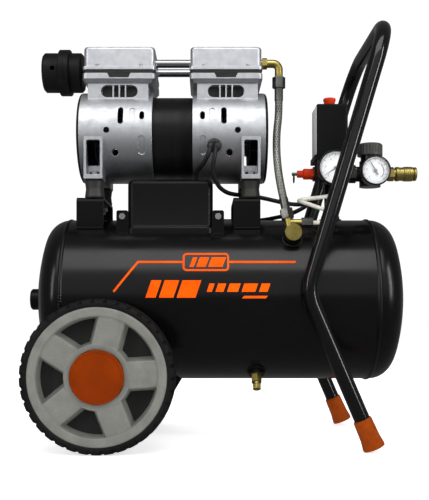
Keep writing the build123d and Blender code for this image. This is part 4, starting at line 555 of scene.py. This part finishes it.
LINE_W = 2.9
prints = stroke((-154.7, 219.6), (-121.7, 261.2), LINE_W) + stroke((-122.6, 261.2), (-59.5, 261.2), LINE_W)
prints += stroke((5.0, 261.2), (98.2, 261.2), LINE_W) + panel_ring((-27.2, 261.2), (64.5, 25.5), 5.5, 2.5)
for start, width in ((-50, 6), (-40.5, 13), (-24, 20), (-0.5, 0)):
    if width:
        prints += bar(start, start + width, 254.4, 267.8, 5.0)
for start, width in ((-110.5, 14), (-92, 20), (-67.5, 26)):
    prints += bar(start, start + width, 211.5, 235.5, 8.0)
for start, width in ((-26, 7), (-14, 11), (2, 15), (22, 19), (46, 12)):
    prints += bar(start, start + width, 219.6, 231.0, 4.0)
prints += bar(22.6, 55.5, 210.6, 214.0, 3.0)
piece("tank_trim", prints, "chassis", trim_ink, sharp=50)

# ---- Frame tube. One 22 mm steel tube each side, bent at the tank and joined over the top by the
# grip, welded to the tank at mid-height and sprayed with it.
# Gloss enamel on tube: the same paint, a touch smoother, so it draws long thin highlights.
tube_enamel = finish("tube_enamel", "#0A0A0B", "#060607", 6.0, (0.12, 0.2), bump=0.02, IOR=1.45)
TUBE_R, TUBE_Y = 11.0, 131.0


def bent(points, radii, arc_step=math.radians(3)):
    """The centreline of a bent steel tube: straight runs joined by circular arcs of given radii."""
    points = [np.asarray(p, float) for p in points]
    line = [points[0][None]]
    for before, corner, after, radius in zip(points, points[1:], points[2:], radii):
        back, on = unit(before - corner), unit(after - corner)
        half = math.acos(np.clip(back @ on, -1, 1)) / 2
        centre = corner + unit(back + on) * radius / math.sin(half)
        start = corner + back * radius / math.tan(half)
        swing = math.pi - 2 * half
        turn = np.linspace(0, swing, max(3, int(swing / arc_step)))[:, None]
        out, along = unit(start - centre), -back
        line.append(centre + radius * (np.cos(turn) * out + np.sin(turn) * along))
    line.append(points[-1][None])
    return np.concatenate(line)


FOOT, KNEE, GRIP = np.array([202.9, 0, 6.1]), np.array([111.5, 0, 219.0]), np.array([223.7, 0, 596.0])
leg = unit(KNEE - FOOT)
side_y = np.array([0, TUBE_Y, 0])
tube_line = bent(
    [FOOT + leg * 6.2 - side_y, KNEE - side_y, GRIP - side_y,
     GRIP + side_y, KNEE + side_y, FOOT + leg * 6.2 + side_y],
    (65, 62, 62, 65))
handle = piece("frame_tube", [carried(tube_line, TUBE_R, 48)], "chassis", tube_enamel,
               sharp=60)
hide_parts("handle_frame")
knee_x = float(np.interp(AXIS_Z, *[tube_line[: len(tube_line) // 2][:, k] for k in (2, 0)]))
tack = np.linspace(-1, 1, 17)
piece("frame_welds", [
    carried(np.c_[knee_x + edge * (8.5 - 1.5 * tack**2), side * (121.5 + 2.5 * tack**2), AXIS_Z + 15 * tack],
            3.0 * (1 - 0.5 * tack**2) * (1 + 0.1 * np.cos(tack * 26)), 10)
    for side in (-1, 1) for edge in (-1, 1)
], "chassis", tank_enamel, sharp=60)

# ---- Feet. Moulded rubber boots pushed on the tube ends, in burnt orange, wider at the sole.
# Moulded rubber: matt, a little chalky on the flanks and darker where it creases.
foot_rubber = finish("orange_foot_rubber", "#96400A", "#7A3004", 5.0, (0.5, 0.66), bump=0.06, IOR=1.14)
sole = eased([(0, 0), (15.2, 0), (15.4, 3.2), (13.7, 15), (12.9, 41.2), (11.6, 42.8), (10.6, 42.8),
              (10.6, 7)], 1.1)
boots = piece("rubber_boots", [
    turned(np.r_[sole, [(0, 7)]], FOOT + side * side_y, leg, 64) for side in (-1, 1)
], "chassis", foot_rubber)
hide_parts("rubber_feet")

# ---- Wheels. Each turns on its own stub axle: a moulded grey rim with five hollow spokes over a dark
# liner plate, painted shade for the hollows between them, a solid rubber tyre with 38 shoulder lugs
# and an orange snap-in cap.
WHEEL = np.array([-172.7, 0, 105.0])
WHEEL_Y, LUGS = 141.0, 38
# Moulded tyre rubber: matt black that greys where it is scuffed.
tyre_rubber = finish("tyre_rubber", "#121212", "#080808", 4.0, (0.55, 0.75), bump=0.15, edge=0.5, IOR=1.28)
# Glass-filled polypropylene: grey with a faint fleck, a leathery gloss and rubbed corners.
rim_plastic = finish("grey_filled_plastic", "#74746F", "#64645F", 1.6, (0.34, 0.48), bump=0.05, edge=1.0,
                     wear_and_highlight="#94948F", IOR=1.5)
# The liner behind the spokes: a matt black plate, painted shade for the hollows between the spokes.
shade_liner_plastic = finish("painted_shade_liner_black", "#131312", "#090908", 14.0, (0.6, 0.8), bump=0.05, IOR=1.5)
# Snap-in cap: burnt orange polypropylene, a fine moulded grain, with a painted highlight on its rolled edge.
cap_plastic = finish("burnt_orange_plastic", "#7C2C00", "#6C2500", 2.5, (0.42, 0.55), bump=0.03, edge=0.8,
                     wear_and_highlight="#D8600A", IOR=1.12)


def step(value, low, high):
    """A smooth rise from 0 at low to 1 at high: 3 t^2 - 2 t^3."""
    t = np.clip((value - low) / (high - low), 0, 1)
    return t * t * (3 - 2 * t)


def on_wheel(side, radius, angle, out):
    """The place at a radius and angle round the wheel, out mm from the tyre's middle plane."""
    radius, angle, out = np.broadcast_arrays(radius, angle, out)
    return np.stack([WHEEL[0] + radius * np.cos(angle), side * (WHEEL_Y + out),
                     WHEEL[2] + radius * np.sin(angle)], -1)


def tyre_grid(side):
    """The tyre: its section carried round the wheel, with lugs that sink the shoulder by 3.4 mm in a
    quarter of each pitch; the cuts slant with the place across the tread and stop at the middle rib."""
    section = eased([
        (94, 0), (94, 19.6), (98.5, 20), (101.8, 19.2), (104.3, 16), (105, 12), (105, 5), (105, -5),
        (105, -12),
        (104.3, -16), (101.8, -19.2), (98.5, -20), (94, -19.6), (94, 0),
    ], 1.2, 2)
    angle = np.linspace(0, 2 * math.pi, LUGS * 12 + 1)[None, :]
    radius, out = section[:, :1], section[:, 1:]
    pitch = (angle * LUGS / (2 * math.pi) + 0.35 * np.abs(out) / 20) % 1
    cut = step(pitch, 0.0, 0.08) * (1 - step(pitch, 0.26, 0.34))
    cut = cut * step(np.abs(out), 4, 6) * step(radius, 98.4, 101.5)
    return on_wheel(side, radius - 3.4 * cut, angle, out * (1 - 0.03 * cut))


FACE, WEB, SPOKES = 19.0, -2.0, 5


def rim_grid(side):
    """The rim's face as a height over (radius, angle): the highest of the outer ring, the hub ring and
    the nearest spoke, whose flat top falls away over 7 mm at each flank; then its plain back."""
    front = np.r_[36.0, 36.6, 37.4, 40, 43, 44.2, 45, 46, 47, 48, 49.5, np.arange(51, 77, 1.6),
                  77, 78, 79, 80, 81,
                  82, 83.2, 85, 88, 90.5, 92, 93, 93.7, 94.0]
    angle = np.linspace(0, 2 * math.pi, 481)[None, :]
    r = front[:, None]
    first = math.radians(3.5) if side < 0 else math.radians(-3.5)
    away = (angle - first + math.pi / SPOKES) % (2 * math.pi / SPOKES) - math.pi / SPOKES
    off = np.abs(r * np.sin(away))
    spoke = WEB + (FACE - 3.0 - WEB + 0.8 * (1 - (off / 17) ** 2) * (off < 17)) * (1 - step(off, 17.0, 24.5))
    ring = WEB + (FACE - WEB) * step(r, 77.5, 82.5) - 1.6 * step(r, 92.2, 94.2) + 1.0 * step(r, 84, 89)
    hub = WEB + (FACE - 2.0 - WEB) * (1 - step(r, 44.2, 49.0)) - 4.0 * (1 - step(r, 36.0, 37.4))
    height = np.maximum(np.maximum(spoke, ring), hub)
    face = on_wheel(side, r, angle, height)
    back = eased([(94, -12), (94, -19), (89.5, -19), (89, -4.2), (21, -4.2), (20, -19), (8.3, -19),
                  (8.3, 13)], 0.6, 2)
    hidden = on_wheel(side, back[:, :1], angle, back[:, 1:])
    return np.concatenate([face, hidden, face[:1]])


for side, body, end in ((-1, "front_wheel", "front"), (1, "rear_wheel", "rear")):
    tyre = piece(f"{end}_tyre", [tyre_grid(side)], body, tyre_rubber, sharp=40)
    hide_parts(f"tyre_{end}")
    rim = piece(f"{end}_rim", [rim_grid(side)], body, rim_plastic, sharp=50)
    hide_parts(f"rim_{end}")
    out = (0, side, 0)
    centre = WHEEL + (0, side * WHEEL_Y, 0)
    # Painted shade: the black liner plate darkens the hollows between the spokes.
    piece(f"{end}_liner", [turned([(44, WEB + 0.8), (84, WEB + 0.8), (84, WEB + 2.2), (44, WEB + 2.2),
                                   (44, WEB + 0.8)],
                                  centre, out, 128)], body, shade_liner_plastic)
    disc = eased([(0, 21.9), (24, 21.9), (33.2, 21.3), (34.6, 22.9), (36.3, 22.0), (36.7, 20.4), (36.7, 17.3),
                  (33.5, 17.2), (33.0, 20.0), (0, 20.2)], 0.5)
    cap = piece(f"{end}_cap", [turned(disc, centre, out, 128)], body, cap_plastic)
    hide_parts(f"wheel_cap_{end}")


# ---- Pressed steel under the tank and the motor: the axle bracket with its stub axles, and the two
# arches that carry the motor. Folded sheet, welded to the tank and sprayed with it.
def dress(skin, *nodes):
    """Give carried-over CAD nodes a finish."""
    for name in nodes:
        for place in frame["nodes"][name].material_slots:
            place.material = skin


# Sprayed sheet steel: satin black, its sharp folds painted lighter where the paint pulls thin and as a
# painted sheen.
sheet_enamel = finish("sheet_steel_enamel", "#0A0A0B", "#060607", 7.0, (0.22, 0.34), bump=0.04, edge=0.9,
                      wear_and_highlight="#1C1C1E", IOR=1.22)
dress(sheet_enamel, "axle_bracket", "motor_brackets", "tank_ports")
arch_weld = np.linspace(-1, 1, 41)
drop = math.sqrt(TANK_R**2 - 62.0**2)
piece("arch_welds", [
    carried(np.c_[x + 18.5 * arch_weld, np.full(41, y * 62.8), AXIS_Z + drop + 0.3 + 0 * arch_weld],
            1.9 * (1 + 0.16 * np.cos(arch_weld * 33)), 10)
    for x in (-195.5, 32.5) for y in (-1, 1)
], "chassis", sheet_enamel, sharp=60)
# Zinc plating: cool grey steel, crystalline, with a bright rubbed edge.
zinc = finish("zinc_plated_steel", "#B4B6B8", "#8E9092", 1.2, (0.28, 0.42), bump=0.03, edge=0.4, Metallic=1.0)
dress(zinc, "wheel_axles", "fasteners")

# ---- Motor mounts. Four waisted rubber buffers, bonded to steel studs, between the arches and the
# crankcase lugs.
mount_rubber = finish("buffer_rubber", "#2A2926", "#161614", 3.0, (0.42, 0.6), bump=0.08, edge=0.8, IOR=1.5)
dress(mount_rubber, "mount_buffers")

# ---- Motor pump. Two die-cast crankcases bolted either side of a lacquered lamination stack, a shaft
# with two fans inside, and black end covers.
# Die-cast aluminium, bead blasted: a silvery satin with a fine sandy grain and bright rims.
cast_aluminium = finish("blasted_cast_aluminium", "#CFD1D4", "#B9BBBF", 0.9, (0.42, 0.52), bump=0.03,
                        edge=0.8, wear_and_highlight="#F2F3F5", Metallic=1.0)
dress(cast_aluminium, "crankcase_left", "crankcase_right")
# Lamination stack under black lacquer: fine upright lines, 0.5 mm plates drawn 1.5 mm apart to show.
lacquer = finish("lacquered_laminations", "#101010", "#060606", 1.5, (0.3, 0.45), bump=0.1,
                 stretch=(1, 0.04, 0.04), IOR=1.25)
dress(lacquer, "stator")
# Bare electrical steel and ground steel inside the barrel.
bare_steel = finish("ground_steel", "#9A9A98", "#7C7C7A", 1.5, (0.25, 0.4), bump=0.02, edge=0.4, Metallic=1.0)
dress(bare_steel, "rotor_core", "motor_shaft", "shaft_bearings", "cylinder_sleeves")
# Moulded nylon parts: black, a fine spark-eroded grain and soft corners.
black_nylon = finish("black_moulded_nylon", "#0E0E10", "#080809", 0.8, (0.36, 0.5), bump=0.05,
                     edge=0.8, IOR=1.25)
dress(black_nylon, "cooling_fans", "end_covers", "capacitor")
turned_alloy = finish("turned_aluminium", "#C9CBCE", "#B0B2B5", 0.8, (0.22, 0.34), bump=0.02, edge=0.4,
                      Metallic=1.0)
dress(turned_alloy, "piston_left", "piston_right")

# ---- Cylinder heads. Die-cast lids screwed down over a black valve plate gasket, whose tab shows in a
# notch of the flange, joined by two bright tubes.
head_aluminium = finish("satin_head_aluminium", "#D6D8DC", "#C2C4C9", 0.7, (0.42, 0.5), bump=0.012, edge=1.2,
                        wear_and_highlight="#F6F7F9", Metallic=1.0)
dress(head_aluminium, "cylinder_heads")
gasket = finish("graphite_gasket_and_painted_shade", "#111112", "#080809", 1.0, (0.5, 0.65), bump=0.05, IOR=1.5)
dress(gasket, "valve_plates")
DECK_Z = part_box("valve_plates")[0][2] / MM
CYLINDERS = (-154.5, 2.5)     # the two cylinder axes along the tank
tab = np.array([(-17.5, 0.4), (17.5, 0.4), (15.8, -2.2), (14.0, -6.2), (-14.0, -6.2), (-15.8, -2.2)])
piece("gasket_tabs", [
    prism(tab, (x, y * 51.9, DECK_Z), (-y, 0, 0), (0, 0, 1), [(-0.6, 0), (0.35, 0), (0.6, 0.5)])
    for x in CYLINDERS for y in (-1, 1)
], "chassis", gasket)
# Painted shade: dark plates 0.3 mm thick on the floors of the crankcase windows stand in for the shade inside
# them, in the gasket's black.
piece("painted_shade_window_plates", [
    prism(rounded(52, 17, 2.5), (x, y * 36.2, DECK_Z - 25), (-y, 0, 0), (0, 0, 1), [(-0.1, 0), (0.3, 0)])
    for x in CYLINDERS for y in (-1, 1)
], "chassis", gasket)
# Drawn aluminium tube: smooth along its length, nearly a mirror across it.
drawn_tube = finish("drawn_aluminium_tube", "#C7C9CC", "#AEB0B3", 1.0, (0.14, 0.24), bump=0.01,
                    stretch=(0.05, 1, 1), Metallic=1.0)
dress(drawn_tube, "crossover_pipes")

# ---- Intake filter. A two-part black housing with a milled ring, pushed on the left head.
filter_plastic = finish("filter_polypropylene", "#121213", "#0A0A0B", 1.2, (0.4, 0.55), bump=0.05, edge=1.0,
                        IOR=1.22)
dress(filter_plastic, "filter_housing", "filter_cap")

# ---- Brass fittings: the outlet elbow, the check valve, the quick coupler and the drain cock, turned
# or forged and left bare, gone olive where they are handled.
brass = finish("aged_yellow_brass", "#C3B36A", "#9A8A48", 2.6, (0.28, 0.42), bump=0.012, edge=0.5,
               wear_and_highlight="#E2D493", Metallic=1.0)
dress(brass, "outlet_elbow", "check_valve", "coupler_body", "coupler_sleeve", "drain_body", "drain_screw")
piece("coupler_rings", [
    turned(eased([(10.6, -0.9), (11.35, -0.6), (11.35, 0.6), (10.6, 0.9), (10.6, -0.9)], 0.2, 2),
           (x, 0, 400.5), (1, 0, 0), 64)
    for x in (277.0, 280.0, 283.0)
], "sleeve", brass)
# Nickel-plated steel nuts and crimped ferrules.
nut_steel = finish("nickel_plated_nut", "#7E7F7B", "#5E5F5B", 1.6, (0.32, 0.45), bump=0.03, edge=0.5,
                   wear_and_highlight="#D0D0CC", Metallic=1.0)
dress(nut_steel, "hose_nuts", "manifold", "safety_valve_stem")

# ---- Capacitor cover. A deep-drawn steel box, sprayed black, with rounded corners and crown and
# a flared foot, screwed to two tabs on the tank.
BOX_AT, BOX_L, BOX_W, BOX_TOP, CROWN, CORNER = (-78.5, -49.0), 123.0, 46.0, 383.0, 9.0, 10.0
crown_turn = np.linspace(0, math.pi / 2, 9)
walls = [(301.0, -3.0), (311.0, -3.0), (313.0, -2.3), (314.6, -0.8), (316.2, 0.0)]
walls += list(zip(BOX_TOP - CROWN * (1 - np.sin(crown_turn)), CROWN * (1 - np.cos(crown_turn))))
loops = []
for height, inset in walls:
    loop = rounded(BOX_L - 2 * inset, BOX_W - 2 * inset, CORNER - inset, 8)
    loops.append(np.c_[np.r_[loop, loop[:1]] + BOX_AT, np.full(len(loop) + 1, height)])
ends = [np.broadcast_to((*BOX_AT, height), loops[0].shape) for height in (walls[0][0], BOX_TOP)]
box = piece("capacitor_box", [
    np.stack([ends[0], *loops, ends[1]]),
    *[prism(rounded(17, 38, 3), (x, -69.0, 318.5), (1, 0, 0), (0, 0, 1), [(0, 0), (2.6, 0), (3.0, 0.4)])
      for x in (-147.5, -9.5)],
], "chassis", sheet_enamel, sharp=40)
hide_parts("capacitor_cover")

# ---- Pressure switch. A black ABS cover over a zinc base, with a red push knob on top.
# ABS: a slightly oily black with a fine texture.
switch_abs = finish("black_abs", "#0A0A0B", "#060607", 0.9, (0.34, 0.48), bump=0.04, edge=1.0, wear_and_highlight="#1A1A1C",
                    IOR=1.22)
dress(switch_abs, "switch_base", "switch_cover")
red_abs = finish("red_abs", "#D8380E", "#BC2A08", 1.2, (0.3, 0.42), bump=0.03, edge=0.8, IOR=1.25)
dress(red_abs, "switch_knob", "safety_valve_body")
# Type plate on the cover's left flank: a blank light grey label.
foil = finish("blank_label", "#C9C9C9", "#BEBEBE", 3.0, (0.5, 0.6), bump=0.01, IOR=1.4)
piece("switch_label", [
    prism(rounded(48, 72, 1.5), (137.0, -8.5, 461.0), (0, -1, 0), (0, 0, 1),
          [(-0.3, 0), (0.2, 0), (0.25, 0.1)])
], "chassis", foil)

# ---- Gauges. Two round dial gauges in black steel cases, printed white dials behind a flat lens, and
# stamped black pointers.
gauge_steel = finish("gauge_case_enamel", "#121214", "#0A0A0B", 2.0, (0.2, 0.3), bump=0.02, edge=0.6, IOR=1.5)
dress(gauge_steel, "gauge_cases")
dial_white = finish("printed_dial_card", "#EDEEF0", "#E1E3E6", 2.5, (0.45, 0.55), bump=0.01, IOR=1.45)
dress(dial_white, "gauge_dials")
pointer_black = finish("pointer_lacquer", "#101011", "#08080A", 1.0, (0.3, 0.4), bump=0.01, IOR=1.5)
dress(pointer_black, "needle_tank", "needle_outlet")
lens_clear = finish("clear_gauge_lens", "#FFFFFF", "#F4F6F8", 6.0, (0.02, 0.05), IOR=1.49, Alpha=0.12)
dress(lens_clear, "gauge_lenses")
GAUGES = ((162.3, 401.0, -60.0, 23.6, 12), (221.4, 398.0, -55.0, 19.8, 10))


def at_dial(gauge, radius, angle):
    """A place on a dial at a radius and an angle from the right, counted to the left."""
    x, z, face, _, _ = gauge
    return np.stack([x + radius * np.cos(angle), np.full(np.shape(angle), face + 6.75),
                     z + radius * np.sin(angle)], -1)


def arc_mark(gauge, inner, outer, start, end, steps=24):
    """A printed arc between two radii and two angles, 0.25 mm proud of the card."""
    turn = np.linspace(start, end, steps)
    rows = [at_dial(gauge, r + 0 * turn, turn) + (0, dy, 0)
            for r, dy in ((inner, 0.2), (inner, 0), (outer, 0), (outer, 0.2), (inner, 0.2))]
    grid = np.stack(rows)
    ends = [np.stack([grid[[0, 1], k], grid[[3, 2], k]]) for k in (0, -1)]
    return [grid, *ends]


ticks, zones = [], []
for gauge in GAUGES:
    dial = gauge[3]
    for count in range(51):
        turn = math.radians(225 - 270 * count / 50)
        major = count % 5 == 0
        half = (0.022 if major else 0.012)
        ticks += arc_mark(gauge, dial * (0.78 if major else 0.84), dial * 0.92, turn - half, turn + half, 2)
    ticks += arc_mark(gauge, dial * 0.92, dial * 0.935, math.radians(-45), math.radians(225), 60)
zones += arc_mark(GAUGES[1], GAUGES[1][3] * 0.60, GAUGES[1][3] * 0.66, math.radians(-38), math.radians(52))
zones += arc_mark(GAUGES[0], GAUGES[0][3] * 0.60, GAUGES[0][3] * 0.64, math.radians(-40), math.radians(0))
dial_ink = finish("black_dial_ink", "#1C1D20", "#131416", 1.0, (0.4, 0.5), bump=0.005, IOR=1.45)
red_ink = finish("red_dial_ink", "#7E1C1C", "#6A1414", 1.0, (0.4, 0.5), bump=0.005, IOR=1.45)
piece("dial_ticks", ticks, "chassis", dial_ink)
piece("dial_zones", zones, "chassis", red_ink)


def figures(gauge, size, last, body):
    """The numbers round a dial: plain text made a mesh, set upright on a circle of 0.6 of the dial."""
    points, faces, first = [], [], 0
    for count in range(6):
        data = bpy.data.curves.new("figure", "FONT")
        data.body = str(round(last * count / 5))
        data.size = size
        data.extrude = 0.12
        data.resolution_u = 3
        data.align_x, data.align_y = "CENTER", "CENTER"
        holder = bpy.data.objects.new("figure", data)
        drawn = bpy.data.meshes.new_from_object(holder)
        flat = np.empty(len(drawn.vertices) * 3)
        drawn.vertices.foreach_get("co", flat)
        flat = flat.reshape(-1, 3)
        middle = at_dial(gauge, 0.62 * gauge[3], math.radians(225 - 54 * count))
        points.append(middle + np.c_[flat[:, 0], -flat[:, 2] + 0.1, flat[:, 1]])
        faces += [[first + v for v in face.vertices] for face in drawn.polygons]
        first += len(flat)
        bpy.data.objects.remove(holder)
        bpy.data.curves.remove(data)
        bpy.data.meshes.remove(drawn)
    mesh = bpy.data.meshes.new(body)
    mesh.from_pydata((np.concatenate(points) * MM).tolist(), [], faces)
    shape = bmesh.new()
    shape.from_mesh(mesh)
    bmesh.ops.remove_doubles(shape, verts=shape.verts, dist=1e-6)
    bmesh.ops.recalc_face_normals(shape, faces=shape.faces)
    shape.to_mesh(mesh)
    shape.free()
    mesh.materials.append(dial_ink)
    return settle(bpy.data.objects.new(body, mesh), "chassis")


figures(GAUGES[0], 4.4, 15, "tank_dial_figures")
figures(GAUGES[1], 3.7, 10, "outlet_dial_figures")

# ---- Regulator. A black body and a grey-black knob with moulded flutes that lifts to turn.
knob_plastic = finish("graphite_knob_plastic", "#3A3A38", "#2A2A29", 1.0, (0.4, 0.52), bump=0.05, edge=0.8,
                      wear_and_highlight="#6A6A66", IOR=1.5)
dress(knob_plastic, "regulator_knob")
dress(gauge_steel, "regulator_body")

# ---- Studio. A plain pale floor, a large soft light above and in front, and two tall strips whose
# reflections draw the highlights on the domes and the tube.
floor_paint = finish("pale_floor", "#F4F4F4", "#EFEFEF", 60.0, (0.6, 0.7), IOR=1.3,
                     Emission_Color=(1, 1, 1, 1), Emission_Strength=0.65)
floor_mesh = bpy.data.meshes.new("floor")
floor_mesh.from_pydata([(-9, -9, 0), (9, -9, 0), (9, 9, 0), (-9, 9, 0)], [], [(0, 1, 2, 3)])
floor_mesh.materials.append(floor_paint)
floor = bpy.data.objects.new("floor", floor_mesh)
bpy.context.scene.collection.objects.link(floor)
floor.visible_glossy = False
for name, spot, aim, size, power in (
    ("sky", (-0.1, -1.1, 1.9), (-0.05, 0, 0.35), (1.9, 1.1), 22),
    ("left_strip", (-1.25, -1.05, 0.75), (-0.1, 0, 0.3), (0.16, 1.0), 5),
    ("right_strip", (1.25, -0.95, 0.75), (0.05, 0, 0.3), (0.16, 1.0), 9),
    ("front", (0.0, -2.5, 1.45), (-0.05, 0, 0.5), (3.2, 2.0), 11),
    ("back", (0.3, 1.5, 1.6), (0, 0, 0.35), (1.6, 0.8), 14),
):
    lamp = bpy.data.lights.new(name, "AREA")
    lamp.shape = "RECTANGLE"
    lamp.size, lamp.size_y, lamp.energy = size[0], size[1], power
    held = bpy.data.objects.new(name, lamp)
    held.location = spot
    toward = np.array(aim) - np.array(spot)
    flat = math.hypot(toward[0], toward[1])
    held.rotation_euler = (math.atan2(flat, -toward[2]), 0, math.atan2(-toward[0], toward[1]))
    held.visible_glossy = name != "back"
    bpy.context.scene.collection.objects.link(held)
room = bpy.data.worlds.new("room")
room.use_nodes = True
room.node_tree.nodes.clear()
ray = put(room.node_tree, "ShaderNodeLightPath")
seen = put(room.node_tree, "ShaderNodeMapRange", {"To Min": 0.42, "To Max": 1.05},
           {"Value": ray.outputs["Is Camera Ray"]})
shine = put(room.node_tree, "ShaderNodeMath", {"operation": "MULTIPLY_ADD", 1: -0.27},
            {0: ray.outputs["Is Glossy Ray"], 2: seen.outputs[0]})
glow = put(room.node_tree, "ShaderNodeBackground", {"Color": (1, 1, 1, 1)}, {"Strength": shine.outputs[0]})
put(room.node_tree, "ShaderNodeOutputWorld", links={"Surface": glow.outputs[0]})
bpy.context.scene.world = room
bpy.context.scene.view_settings.view_transform = "Standard"
